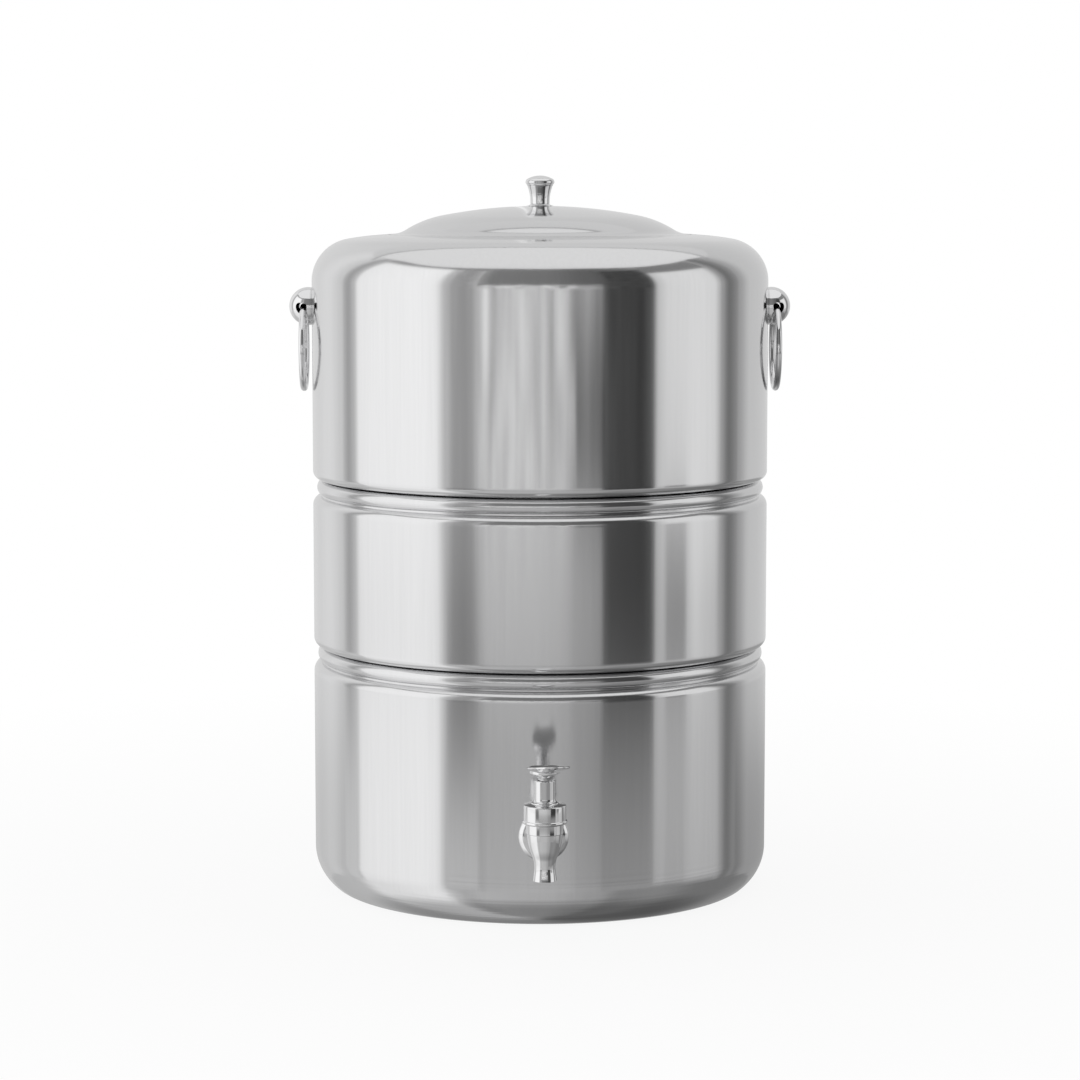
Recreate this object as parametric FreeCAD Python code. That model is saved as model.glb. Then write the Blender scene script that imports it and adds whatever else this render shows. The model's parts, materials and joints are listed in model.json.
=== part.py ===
import FreeCAD, Part
import math
import os
from FreeCAD import Vector

# A water dispenser pot of three drawn steel vessels that stand one on another.
# The lowest has a lever tap, the uppermost has two ring handles and a domed lid.
# The origin is the centre of the flat foot, +Z is up and the tap points along -Y.
# All sizes are in millimetres.

# Body
body_radius = 96.0
sheet = 0.8
foot_inset = 11.0
foot_edge_radius = 5.5
foot_turn = 50.8
base_height = 103.1
middle_height = 70.5
top_wall_height = 82.9
shoulder_radius = 18.0
shoulder_turn = 80.0
crown_radius = 120.0
crown_slope = 4.0
mouth_radius = 54.0
mouth_lip_radius = 1.2
mouth_neck_depth = 7.0
hole_reach = 6.0

# Stacking joint between two vessels
seat_gap = 0.3
joint_shoulder = 4.0
joint_shoulder_drop = 11.0
bead_radius = 3.4
bead_crease = 58.0
bead_inset = 5.1
land_width = 1.5
spigot_clearance = 0.6
spigot_depth = 6.0
lower_edge_radius = 3.3
transfer_hole_radius = 6.0
transfer_lip = 3.0

# Lid
lid_overlap = 9.4
lid_land = 1.5
lid_gap = 0.1
ledge_clearance = 0.2
lid_hollow_radius = 12.0
lid_rim_radius = 45.0
lid_rim_slope = 32.0
lid_crown_slope = 11.0
skirt_clearance = 0.6
skirt_depth = 5.5
skirt_chamfer = 0.4

# Knob of the lid
knob_height = 12.7
knob_head_radius = 6.15
knob_head_low = 8.5
knob_head_middle = 9.9
knob_head_high = 11.2
knob_head_round = 0.8
knob_neck_radius = 4.05
knob_neck_low = 2.4
knob_neck_bow = 0.32
knob_foot_radius = 5.6
knob_foot_edge = 0.15
knob_foot_height = 1.1
knob_screw_radius = 2.0
knob_screw_reach = 7.0
screw_end_gap = 0.4
screw_head_radius = 3.6
screw_head_height = 2.4
screw_hole_gap = 0.2
knob_washer_radius = 5.0
washer_gap = 0.07

# Ring handles
handle_height = 246.0
boss_radius = 8.0
boss_centre_out = 1.6
ring_plane_out = 3.5
ring_radius = 17.2
ring_wire_radius = 1.4
ring_clearance = 0.3
ring_side_clearance = 0.25
ring_swing_in = 3.0
ring_swing_out = 95.0
stud_radius = 2.5
stud_clearance = 0.2
stud_end_show = 1.0
boss_washer_radius = 5.5
boss_nut_gap = 0.1
boss_nut_flats = 8.0
boss_nut_height = 4.0
washer_thickness = 1.0
nut_chamfer = 0.6

# Tap
tap_height = 38.6
tap_reach = 28.0
shank_radius = 5.0
shank_bore_radius = 2.2
shank_inside = 12.0
shank_clearance = 0.3
flange_radius = 10.0
flange_thickness = 2.6
flange_edge = 0.8
flange_bow = 1.4
flange_bow_height = 2.1
flange_slope = 3.2
gasket_thickness = 1.6
gasket_inset = 1.0
gasket_bore_gap = 0.1
gasket_root = 3.0
inner_gasket_depth = 3.2
nut_flats = 15.0
nut_height = 5.0
outlet_bore_radius = 3.1
throat_wall = 1.05
seat_drop = 2.3
spout_drop = 12.3
spout_height = 5.2
spout_flare = 0.6
throat_swell = 0.2
throat_swell_height = 2.0
barrel_top = 10.5
barrel_wall = 1.8
band_height = 3.8
band_step = 0.25
tulip_middle_in = 0.85
tulip_middle_rise = 1.8
tulip_low_in = 2.15
plug_wall = 1.5
plug_depth = 4.7
bonnet_overhang = 1.0
bonnet_height = 7.5
bonnet_bead = 0.45
bonnet_bead_height = 1.5
bonnet_chamfer = 0.5
bonnet_ceiling = 2.2
neck_wall = 1.65
neck_height = 9.0
neck_chamfer = 0.3
neck_step = 1.2
neck_step_low = 0.5
neck_step_high = 0.9
neck_hollow = 0.3
neck_hollow_middle = 1.3
neck_hollow_high = 2.2
groove_low = 1.6
groove_high = 3.6
groove_depth = 0.9
sealing_wire_radius = 0.44
spindle_radius = 2.5
running_gap = 0.05
spindle_foot_height = 1.2
spindle_stem_radius = 1.2
spindle_stem_gap = 0.3
spindle_above_pivot = 3.0
seal_thickness = 2.0
spring_wire_radius = 0.4
spring_room = 0.4
spring_turns = 6

# Lever
lever_yaw = 7.5
lever_rise = 10.3
lever_pivot_above_neck = 2.4
paddle_half_width = 8.35
paddle_half_length = 14.0
paddle_centre = 9.5
paddle_thickness = 1.5
paddle_dish_radius = 45.0
paddle_above_pivot = 2.1
hub_flare = 2.4
hub_flare_rise = 0.6
hub_chamfer = 0.3
pin_radius = 0.8
pin_show = 0.3
tongue_thickness = 2.6
tongue_length = 3.8
slot_clearance = 0.2
slot_flare = 1.05
tongue_round_inset = 0.1

# Sizes and places worked out from those above
foot_radius = body_radius - foot_inset
lid_edge_radius = mouth_radius + lid_overlap
ledge_radius = lid_edge_radius + ledge_clearance
chamber_radius = spindle_radius + 2 * (spring_room + spring_wire_radius)
seal_radius = chamber_radius - spring_room
plug_radius = chamber_radius + plug_wall
barrel_radius = plug_radius + barrel_wall
bonnet_radius = barrel_radius + bonnet_overhang
throat_radius = outlet_bore_radius + throat_wall
spout_radius = throat_radius + spout_flare
neck_radius = spindle_radius + neck_wall
hub_radius = neck_radius + running_gap
joint_low = base_height
joint_high = base_height + middle_height
shoulder_start = joint_high + top_wall_height
bead_centre_radius = body_radius - bead_inset
bead_centre_drop = bead_radius + seat_gap / 2
bead_inner_radius = bead_centre_radius - land_width
spigot_radius = bead_inner_radius - land_width / 2 - spigot_clearance
tap_axis_y = -body_radius - tap_reach
barrel_top_z = tap_height + barrel_top
bonnet_top_z = barrel_top_z + bonnet_height
neck_top_z = bonnet_top_z + neck_height
seat_z = tap_height - seat_drop
pivot_z = neck_top_z + lever_pivot_above_neck
small = 0.02
spare = 1.0


def on_circle(r, z, radius, degrees):
    """Point of a circle in the radius-height plane."""
    turn = math.radians(degrees)
    return r + radius * math.cos(turn), z + radius * math.sin(turn)


class Outline:
    """Closed outline in the radius-height plane, made of straight runs and arcs."""

    def __init__(self, r, z):
        self.first = Vector(r, 0, z)
        self.last = self.first
        self.edges = []

    def to(self, r, z):
        point = Vector(r, 0, z)
        if point.distanceToPoint(self.last) > 1e-6:
            self.edges.append(Part.makeLine(self.last, point))
            self.last = point
        return self

    def arc(self, r, z, radius, start, end):
        turns = (start, (start + end) / 2, end)
        points = [on_circle(r, z, radius, turn) for turn in turns]
        self.to(*points[0])
        self.edges.append(Part.Arc(*[Vector(a, 0, b) for a, b in points]).toShape())
        self.last = Vector(points[2][0], 0, points[2][1])
        return self

    def bulge(self, middle, end):
        """Arc from the last point through a middle point to an end point."""
        points = [self.last, Vector(middle[0], 0, middle[1]), Vector(end[0], 0, end[1])]
        self.edges.append(Part.Arc(*points).toShape())
        self.last = points[2]
        return self

    def dome(self, z):
        """Ball-shaped end from the last point to the axis at height z."""
        rise = z - self.last.z
        radius = (self.last.x ** 2 + rise ** 2) / (2 * abs(rise))
        centre = z - math.copysign(radius, rise)
        start = math.degrees(math.atan2(self.last.z - centre, self.last.x))
        return self.arc(0, centre, radius, start, math.copysign(90, rise))

    def turned(self, degrees=360):
        """The solid that the outline sweeps about the upright axis."""
        self.to(self.first.x, self.first.z)
        solid = Part.Face(Part.Wire(self.edges)).revolve(Vector(), Vector(0, 0, 1), degrees)
        if solid.Volume < 0:
            solid.reverse()
        return solid


def rod(radius, start, end):
    """Round bar between two points."""
    run = end - start
    return Part.makeCylinder(radius, run.Length, start, run)


def hexagon(flats, height, bore):
    """Hexagon nut about the upright axis, its lower face at zero."""
    corner = flats / math.sqrt(3)
    points = [Vector(*on_circle(0, 0, corner, 60 * side), 0) for side in range(7)]
    block = Part.Face(Part.makePolygon(points)).extrude(Vector(0, 0, height))
    chamfer = Outline(0, 0).to(corner - nut_chamfer, 0).to(corner, nut_chamfer)
    chamfer.to(corner, height - nut_chamfer).to(corner - nut_chamfer, height).to(0, height)
    return block.common(chamfer.turned()).cut(Part.makeCylinder(bore, height))


def rim(path, joint):
    """Upper end of a vessel that carries another one, from the outer wall to the inner."""
    centre_r = body_radius - joint_shoulder
    centre_z = joint - joint_shoulder_drop
    bead_z = joint - bead_centre_drop
    path.arc(centre_r, centre_z, joint_shoulder, 0, bead_shoulder_turn())
    path.arc(bead_centre_radius, bead_z, bead_radius, -bead_crease, 90)
    path.to(bead_inner_radius, bead_z + bead_radius)
    path.to(bead_inner_radius - land_width / 2, bead_z + bead_radius - land_width / 2)
    path.to(bead_inner_radius - land_width / 2, bead_z - bead_radius / 2)
    path.to(centre_r, bead_z - bead_radius - sheet)
    path.to(body_radius - sheet, centre_z)
    return path


def bead_shoulder_turn():
    """Angle at which the rounded shoulder meets the crease under the bead."""
    crease = on_circle(bead_centre_radius, 0, bead_radius, -bead_crease)[0]
    return math.degrees(math.acos((crease - body_radius + joint_shoulder) / joint_shoulder))


def nested_foot(path, joint):
    """Lower end of a vessel that stands in the rim below, from the inner wall to the outer."""
    seat = joint + seat_gap / 2
    corner_r = body_radius - lower_edge_radius
    corner_z = seat + lower_edge_radius
    floor = joint - spigot_depth
    path.arc(corner_r, corner_z, lower_edge_radius - sheet, 0, -90)
    path.to(spigot_radius - sheet, seat + sheet)
    path.to(spigot_radius - sheet, floor + sheet)
    path.to(transfer_hole_radius, floor + sheet)
    path.to(transfer_hole_radius, floor - transfer_lip)
    path.to(transfer_hole_radius + sheet, floor - transfer_lip)
    path.to(transfer_hole_radius + sheet, floor)
    path.to(spigot_radius - sheet, floor)
    path.to(spigot_radius, floor + sheet)
    path.to(spigot_radius, seat)
    path.arc(corner_r, corner_z, lower_edge_radius, -90, 0)
    return path


def wall_hole(radius, height, side):
    """Round cutter through one wall of a vessel, side being a unit vector."""
    start = Vector(0, 0, height) + side * (body_radius - hole_reach)
    return rod(radius, start, start + side * hole_reach * 2)


def base_tank():
    """Lowest vessel: flat foot, soft lower corner, straight wall and rolled rim."""
    corner_radius, corner_z = foot_corner()
    corner_r = body_radius - corner_radius
    path = Outline(0, 0).to(foot_radius, 0)
    path.arc(foot_radius, foot_edge_radius, foot_edge_radius, -90, -foot_turn)
    path.arc(corner_r, corner_z, corner_radius, -foot_turn, 0)
    rim(path, joint_low)
    path.arc(corner_r, corner_z, corner_radius - sheet, 0, -foot_turn)
    path.arc(foot_radius, foot_edge_radius, foot_edge_radius - sheet, -foot_turn, -90)
    path.to(0, sheet)
    hole = wall_hole(shank_radius + shank_clearance, tap_height, Vector(0, -1, 0))
    return path.turned().cut(hole)


def foot_corner():
    """Radius and height of the large arc between the wall and the small arc at the foot."""
    cosine = math.cos(math.radians(foot_turn))
    width = body_radius - foot_radius
    large = (width - foot_edge_radius * cosine) / (1 - cosine)
    rise = foot_edge_radius + (large - foot_edge_radius) * math.sin(math.radians(foot_turn))
    return large, rise


def middle_tank():
    """Vessel between the two joints, with a transfer hole in its floor."""
    path = rim(Outline(body_radius, joint_high - joint_shoulder_drop), joint_high)
    return nested_foot(path, joint_low).turned()


def top_tank():
    """Uppermost vessel: straight wall, broad shoulder, ledge for the lid and a necked mouth."""
    centre_r = body_radius - shoulder_radius
    crown_r, crown_z = crown_centre()
    lip_r, lip_z = mouth_lip_centre()
    neck_end = lip_z - mouth_neck_depth
    slope = 90 - crown_slope
    step = ledge_radius + sheet
    path = Outline(body_radius, shoulder_start)
    path.arc(centre_r, shoulder_start, shoulder_radius, 0, shoulder_turn)
    path.arc(crown_r, crown_z, crown_radius, shoulder_turn, crown_turn(ledge_radius, 0))
    path.to(ledge_radius, shoulder_height(ledge_radius, 0))
    path.to(ledge_radius, ledge_height(ledge_radius))
    path.arc(lip_r, lip_z, mouth_lip_radius, slope, 180)
    path.to(mouth_radius, neck_end).to(mouth_radius + sheet, neck_end)
    path.arc(lip_r, lip_z, mouth_lip_radius - sheet, 180, slope)
    path.to(step, ledge_height(step) - upright_sheet())
    path.to(step, shoulder_height(step, sheet))
    path.arc(crown_r, crown_z, crown_radius - sheet, crown_turn(step, sheet), shoulder_turn)
    path.arc(centre_r, shoulder_start, shoulder_radius - sheet, shoulder_turn, 0)
    tank = nested_foot(path, joint_high).turned()
    for side in (-1, 1):
        hole = wall_hole(stud_radius + stud_clearance, handle_height, Vector(side, 0, 0))
        tank = tank.cut(hole)
    return tank


def crown_centre():
    """Centre of the large arc that runs from the shoulder's bend to the straight slope."""
    centre_r = body_radius - shoulder_radius
    bend_end = on_circle(centre_r, shoulder_start, shoulder_radius, shoulder_turn)
    return on_circle(*bend_end, -crown_radius, shoulder_turn)


def crown_turn(r, depth):
    """Angle at which the large arc ends, at the straight slope or at a given radius."""
    share = (r - crown_centre()[0]) / (crown_radius - depth)
    return min(90 - crown_slope, math.degrees(math.acos(share)))


def shoulder_height(r, depth):
    """Height of the shoulder at a radius, on the outer face or a depth below it."""
    crown_r, crown_z = crown_centre()
    end_r, end_z = on_circle(crown_r, crown_z, crown_radius - depth, 90 - crown_slope)
    if r < end_r:
        return end_z + (end_r - r) * math.tan(math.radians(crown_slope))
    return crown_z + math.sqrt((crown_radius - depth) ** 2 - (r - crown_r) ** 2)


def upright_sheet():
    """Thickness of the sloping sheet measured upright."""
    return sheet / math.cos(math.radians(crown_slope))


def land_height(r):
    """Height of the lid's flat edge, flush with the shoulder round it."""
    fall = math.tan(math.radians(crown_slope))
    return shoulder_height(ledge_radius, 0) + (ledge_radius - r) * fall


def ledge_height(r):
    """Height of the pressed ledge that carries the edge of the lid."""
    return land_height(r) - upright_sheet() - lid_gap


def mouth_lip_centre():
    """Centre of the small bend from the ledge into the neck of the mouth."""
    r = mouth_radius + mouth_lip_radius
    z = ledge_height(r) - mouth_lip_radius / math.cos(math.radians(crown_slope))
    return r, z


def lid_hollow_centre():
    """Centre of the hollow bend between the lid's flat edge and its rim bend."""
    start_r = lid_edge_radius - lid_land
    return on_circle(start_r, land_height(start_r), lid_hollow_radius, 90 - crown_slope)


def lid_arcs():
    """Centres and radii of the lid's rim bend and of its shallow crown."""
    start = on_circle(*lid_hollow_centre(), -lid_hollow_radius, 90 - lid_rim_slope)
    rim_r, rim_z = on_circle(*start, -lid_rim_radius, 90 - lid_rim_slope)
    meet_r, meet_z = on_circle(rim_r, rim_z, lid_rim_radius, 90 - lid_crown_slope)
    crown = meet_r / math.sin(math.radians(lid_crown_slope))
    crown_z = meet_z - crown * math.cos(math.radians(lid_crown_slope))
    return rim_r, rim_z, crown, crown_z


def lid_top():
    """Height of the lid at its centre."""
    rim_r, rim_z, crown, crown_z = lid_arcs()
    return crown_z + crown


def lid_shell():
    """Domed lid whose hollow rim runs out flush with the shoulder, its flat edge on the ledge."""
    hollow_r, hollow_z = lid_hollow_centre()
    rim_r, rim_z, crown, crown_z = lid_arcs()
    edge = 90 - crown_slope
    steep = 90 - lid_rim_slope
    shallow = 90 - lid_crown_slope
    path = Outline(lid_edge_radius, land_height(lid_edge_radius))
    path.arc(hollow_r, hollow_z, -lid_hollow_radius, edge, steep)
    path.arc(rim_r, rim_z, lid_rim_radius, steep, shallow)
    path.arc(0, crown_z, crown, shallow, 90)
    path.to(0, crown_z + crown - sheet)
    path.arc(0, crown_z, crown - sheet, 90, shallow)
    path.arc(rim_r, rim_z, lid_rim_radius - sheet, shallow, steep)
    path.arc(hollow_r, hollow_z, -lid_hollow_radius - sheet, steep, edge)
    path.to(lid_edge_radius, land_height(lid_edge_radius) - upright_sheet())
    hole = Part.makeCylinder(knob_screw_radius + screw_hole_gap, lid_top() + spare)
    return path.turned().cut(hole)


def lid_underside(r):
    """Height of the lid's inner face on its rim bend."""
    rim_r, rim_z, crown, crown_z = lid_arcs()
    reach = lid_rim_radius - sheet
    return rim_z + math.sqrt(reach ** 2 - (r - rim_r) ** 2)


def lid_skirt():
    """Ring welded under the lid that drops into the mouth and keeps the lid centred."""
    outer = mouth_radius - skirt_clearance
    inner = outer - sheet
    low = mouth_lip_centre()[1] - skirt_depth
    path = Outline(outer, lid_underside(outer) - small).to(outer, low + skirt_chamfer)
    path.to(outer - skirt_chamfer, low).to(inner, low).to(inner, lid_underside(inner) - small)
    return path.turned()


def lid_knob():
    """Turned knob: flared foot, waisted neck and a rounded head."""
    foot = lid_top()
    path = Outline(0, foot + small).to(knob_foot_radius, foot + small)
    path.to(knob_foot_radius, foot + knob_foot_edge)
    flare = (knob_foot_radius + 2 * knob_neck_radius) / 3
    path.bulge((flare, foot + knob_foot_height / 2), (knob_neck_radius, foot + knob_foot_height))
    path.to(knob_neck_radius, foot + knob_neck_low)
    bow_height = (knob_neck_low + knob_head_low) / 2
    head_edge = knob_head_radius - knob_head_round
    path.bulge((knob_neck_radius + knob_neck_bow, foot + bow_height), (head_edge, foot + knob_head_low))
    path.bulge((knob_head_radius, foot + knob_head_middle), (head_edge, foot + knob_head_high))
    path.dome(foot + knob_height)
    hole = Part.makeCylinder(knob_screw_radius, knob_screw_reach, Vector(0, 0, foot))
    return path.turned().cut(hole)


def knob_screw():
    """Screw with a domed head under the lid, its shank up in the knob."""
    under = lid_top() - sheet - washer_thickness
    end = lid_top() + knob_screw_reach - screw_end_gap
    path = Outline(0, end).to(knob_screw_radius - small, end)
    path.to(knob_screw_radius - small, under).to(screw_head_radius, under)
    path.dome(under - screw_head_height)
    return path.turned()


def knob_washer():
    """Flat washer between the screw's head and the lid."""
    low = lid_top() - sheet - washer_thickness
    high = low + washer_thickness - washer_gap
    bore = knob_screw_radius + screw_hole_gap
    path = Outline(bore, low).to(knob_washer_radius, low)
    path.to(knob_washer_radius, high).to(bore, high)
    return path.turned()


def ring_plane():
    """Distance of the hanging ring's plane from the pot's axis."""
    return body_radius + ring_plane_out


def handle_boss(side):
    """Round boss on the wall, with the hole that the ring swings in and a threaded stud inside."""
    out = Vector(side, 0, 0)
    middle = Vector(0, 0, handle_height)
    low = middle - Vector(0, 0, 2 * boss_radius)
    wall = Part.makeCylinder(body_radius + small, 4 * boss_radius, low)
    ball = Part.makeSphere(boss_radius, middle + out * (body_radius + boss_centre_out)).cut(wall)
    stud_end = body_radius - sheet - washer_thickness - boss_nut_height - stud_end_show
    stud = rod(stud_radius, middle + out * stud_end, middle + out * (body_radius + spare))
    return ball.fuse(stud).cut(ring_passage(side)).removeSplitter()


def ring_passage(side):
    """Cutter of the ring's hole: a round bore, widened where the bent wire passes as it swings."""
    half = boss_radius + spare
    bore = ring_wire_radius + ring_clearance
    turn = ring_swing_in + ring_swing_out
    end = ring_radius - math.sqrt((ring_radius - bore) ** 2 - half ** 2)
    path = Outline(0, -half).to(end, -half).bulge((bore, 0), (end, half)).to(0, half)
    cutter = Part.makeCylinder(bore - small, 2 * half, Vector(0, 0, -half))
    tube = ring_wire_radius + ring_side_clearance
    first = Part.makeTorus(ring_radius, tube, Vector(ring_radius, 0, 0), Vector(0, 1, 0))
    last = first.copy()
    last.rotate(Vector(), Vector(0, 0, 1), turn)
    cutter = cutter.fuse([path.turned(turn), first, last])
    cutter.rotate(Vector(), Vector(0, 0, 1), -90 - ring_swing_in)
    cutter.rotate(Vector(), Vector(1, 0, 0), 90)
    if side < 0:
        cutter = cutter.mirror(Vector(), Vector(1, 0, 0))
    cutter.translate(Vector(side * ring_plane(), 0, handle_height))
    return cutter


def handle_ring(side):
    """Ring of round wire that hangs through the boss and swings on it."""
    centre = Vector(side * ring_plane(), 0, handle_height - ring_radius)
    return Part.makeTorus(ring_radius, ring_wire_radius, centre, Vector(1, 0, 0))


def both_sides(piece):
    """The same piece on the right and on the left of the pot."""
    return Part.makeCompound([piece(1), piece(-1)])


def boss_washer(side):
    """Washer bent to the inner wall under a boss nut."""
    centre = Vector(0, 0, handle_height)
    out = Vector(side, 0, 0)
    wall = body_radius - sheet - small
    low = centre - Vector(0, 0, 2 * boss_washer_radius)
    shell = Part.makeCylinder(wall, 4 * boss_washer_radius, low)
    shell = shell.cut(Part.makeCylinder(wall - washer_thickness, 4 * boss_washer_radius, low))
    disc = rod(boss_washer_radius, centre + out * (body_radius - hole_reach), centre + out * body_radius)
    hole = rod(stud_radius + stud_clearance, centre, centre + out * (body_radius + spare))
    return disc.common(shell).cut(hole)


def boss_nut(side):
    """Nut that pulls a boss against the wall from inside."""
    outer_face = body_radius - sheet - washer_thickness - boss_nut_gap
    nut = hexagon(boss_nut_flats, boss_nut_height, stud_radius + small)
    nut.rotate(Vector(), Vector(0, 1, 0), -90 * side)
    nut.translate(Vector(side * outer_face, 0, handle_height))
    return nut


def tap_body():
    """Tulip barrel with its spout, and the threaded shank that passes through the tank wall."""
    outlet = tap_height - spout_drop
    throat = outlet + spout_height
    band_low = barrel_top_z - band_height
    path = Outline(0, barrel_top_z).to(barrel_radius, barrel_top_z)
    path.to(barrel_radius, band_low).to(barrel_radius - band_step, band_low - band_step)
    middle = (barrel_radius - tulip_middle_in, tap_height + tulip_middle_rise)
    path.bulge(middle, (barrel_radius - tulip_low_in, seat_z))
    swell = (throat_radius + throat_swell, throat + throat_swell_height)
    path.bulge(swell, (throat_radius, throat))
    path.to(spout_radius, outlet).to(0, outlet)
    start = Vector(0, tap_axis_y, tap_height)
    end = Vector(0, -body_radius + shank_inside, tap_height)
    solid = at_tap(path.turned()).fuse(rod(shank_radius, start, end))
    solid = solid.cut(rod(shank_bore_radius, start, end + Vector(0, spare, 0)))
    return solid.cut(tap_bore()).removeSplitter()


def tap_bore():
    """Cutter for the plug's seat, the valve chamber, the seat edge and the outlet."""
    outlet = tap_height - spout_drop
    floor = barrel_top_z - plug_depth - running_gap
    path = Outline(0, barrel_top_z + spare).to(plug_radius + running_gap, barrel_top_z + spare)
    path.to(plug_radius + running_gap, floor).to(chamber_radius, floor)
    path.to(chamber_radius, seat_z).to(outlet_bore_radius, seat_z)
    path.to(outlet_bore_radius, outlet - spare).to(0, outlet - spare)
    return at_tap(path.turned())


def tap_bonnet():
    """Round cap that closes the barrel, with the neck that guides the spindle."""
    inside = bonnet_top_z - bonnet_ceiling
    plug_end = barrel_top_z - plug_depth
    bead_middle = (bonnet_radius + bonnet_bead, barrel_top_z + bonnet_bead_height / 2)
    step = neck_radius + neck_step
    hollow = (neck_radius + neck_hollow, bonnet_top_z + neck_hollow_middle)
    path = Outline(chamber_radius, plug_end).to(plug_radius, plug_end)
    path.to(plug_radius, barrel_top_z + small).to(bonnet_radius, barrel_top_z + small)
    path.bulge(bead_middle, (bonnet_radius, barrel_top_z + bonnet_bead_height))
    path.to(bonnet_radius, bonnet_top_z - bonnet_chamfer)
    path.to(bonnet_radius - bonnet_chamfer, bonnet_top_z)
    path.to(step, bonnet_top_z + neck_step_low).to(step, bonnet_top_z + neck_step_high)
    path.bulge(hollow, (neck_radius, bonnet_top_z + neck_hollow_high))
    path.to(neck_radius, neck_top_z - neck_chamfer).to(neck_radius - neck_chamfer, neck_top_z)
    path.to(spindle_radius + running_gap, neck_top_z)
    for radius, height in ring_groove():
        path.to(radius, height)
    path.to(spindle_radius + running_gap, inside).to(chamber_radius, inside)
    return at_tap(path.turned())


def ring_groove():
    """Corners of the groove for the sealing ring in the neck, from the top down."""
    high = bonnet_top_z + groove_high
    low = bonnet_top_z + groove_low
    bore = spindle_radius + running_gap
    return (bore, high), (bore + groove_depth, high), (bore + groove_depth, low), (bore, low)


def at_tap(shape):
    """Moves a piece turned about the origin's axis to the tap's upright axis."""
    shape.translate(Vector(0, tap_axis_y, 0))
    return shape


def spindle_ring():
    """Rubber ring that seals the spindle in the neck."""
    centre = Vector(0, tap_axis_y, bonnet_top_z + (groove_low + groove_high) / 2)
    middle = spindle_radius + running_gap + sealing_wire_radius
    return Part.makeTorus(middle, sealing_wire_radius, centre, Vector(0, 0, 1))


def tap_spindle():
    """Rod with a foot that holds the rubber seal and a flat tongue for the lever's pin."""
    seal_top = seat_z + seal_thickness
    foot_top = seal_top + spindle_foot_height
    stem_end = seat_z + spindle_stem_gap
    top = pivot_z + spindle_above_pivot
    path = Outline(0, stem_end).to(spindle_stem_radius, stem_end)
    path.to(spindle_stem_radius, seal_top + small).to(seal_radius, seal_top + small)
    path.to(seal_radius, foot_top).to(spindle_radius, foot_top)
    path.to(spindle_radius, top).to(0, top)
    return at_tap(path.turned().common(tongue_envelope())).cut(pin_hole(pin_radius + running_gap))


def tongue_envelope():
    """Space that the spindle may fill: the whole rod below and the flat round-ended tongue above."""
    shoulder = pivot_z - tongue_length
    corner = Vector(-tongue_thickness / 2, -tongue_round(), shoulder)
    cheek = Part.makeBox(tongue_thickness, 2 * tongue_round(), tongue_length, corner)
    start = Vector(-tongue_thickness / 2, 0, pivot_z)
    round_end = Part.makeCylinder(tongue_round(), tongue_thickness, start, Vector(1, 0, 0))
    below = Part.makeCylinder(seal_radius + spare, shoulder)
    return below.fuse(swung(round_end.fuse(cheek)))


def tongue_round():
    """Radius of the rounded upper end of the tongue."""
    reach = math.sqrt(spindle_radius ** 2 - (tongue_thickness / 2) ** 2)
    return reach - tongue_round_inset


def swung(shape):
    """Turns a piece about the tap's axis to the way that the lever points."""
    shape.rotate(Vector(), Vector(0, 0, 1), lever_yaw)
    return shape


def pin_hole(radius):
    """Cutter along the lever's pin."""
    return cross_rod(radius, hub_radius + hub_flare)


def cross_rod(radius, half):
    """Round rod across the spindle at the height of the lever's pivot."""
    start = Vector(-half, 0, pivot_z)
    return at_tap(swung(Part.makeCylinder(radius, 2 * half, start, Vector(1, 0, 0))))


def lever_pin():
    """Cross pin that joins the lever to the spindle."""
    return cross_rod(pin_radius, hub_radius + pin_show)


def tap_lever():
    """Dished thumb paddle on a flared hub, slotted from below for the tongue."""
    low = neck_top_z + seat_gap
    top = pivot_z + paddle_above_pivot + hub_radius
    flare = hub_radius + hub_flare
    hub = Outline(0, low).to(hub_radius - hub_chamfer, low).to(hub_radius, low + hub_chamfer)
    hub.to(flare, low + hub_flare + hub_flare_rise).to(flare, top).to(0, top)
    cup = Part.makeSphere(paddle_dish_radius, paddle_dish_centre())
    paddle = paddle_blank().cut(cup)
    solid = hub.turned().cut(cup).fuse(paddle)
    solid = solid.cut(tongue_slot(low))
    return at_tap(swung(solid)).cut(pin_hole(pin_radius)).removeSplitter()


def paddle_dish_centre():
    """Centre of the sphere that dishes the paddle, in line with its tilted middle."""
    centre = Vector(0, -paddle_centre, paddle_above_pivot + paddle_dish_radius)
    tilt = FreeCAD.Rotation(Vector(1, 0, 0), -lever_rise)
    return tilt.multVec(centre) + Vector(0, 0, pivot_z)


def paddle_blank():
    """Leaf outline of the paddle, rounded underneath by a larger sphere."""
    rise = paddle_dish_radius - math.sqrt(paddle_dish_radius ** 2 - paddle_half_length ** 2)
    leaf = Part.Ellipse(Vector(), paddle_half_length, paddle_half_width).toShape()
    leaf.rotate(Vector(), Vector(0, 0, 1), 90)
    height = 2 * paddle_thickness + rise
    blank = Part.Face(Part.Wire([leaf])).extrude(Vector(0, 0, height))
    blank.translate(Vector(0, -paddle_centre, paddle_above_pivot - 2 * paddle_thickness))
    blank.rotate(Vector(), Vector(1, 0, 0), -lever_rise)
    blank.translate(Vector(0, 0, pivot_z))
    reach = paddle_dish_radius + paddle_thickness
    return blank.common(Part.makeSphere(reach, paddle_dish_centre()))


def tongue_slot(low):
    """Cutter of the slot in the hub, wide enough for the tongue as the lever tips."""
    width = tongue_thickness + 2 * slot_clearance
    reach = tongue_round() + slot_clearance + tongue_round_inset
    slot = Part.makeCylinder(reach, width, Vector(-width / 2, 0, pivot_z), Vector(1, 0, 0))
    half = reach + slot_flare
    corner = Vector(-width / 2, -half, low - spare)
    return slot.fuse(Part.makeBox(width, 2 * half, pivot_z - low + spare, corner))


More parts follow.
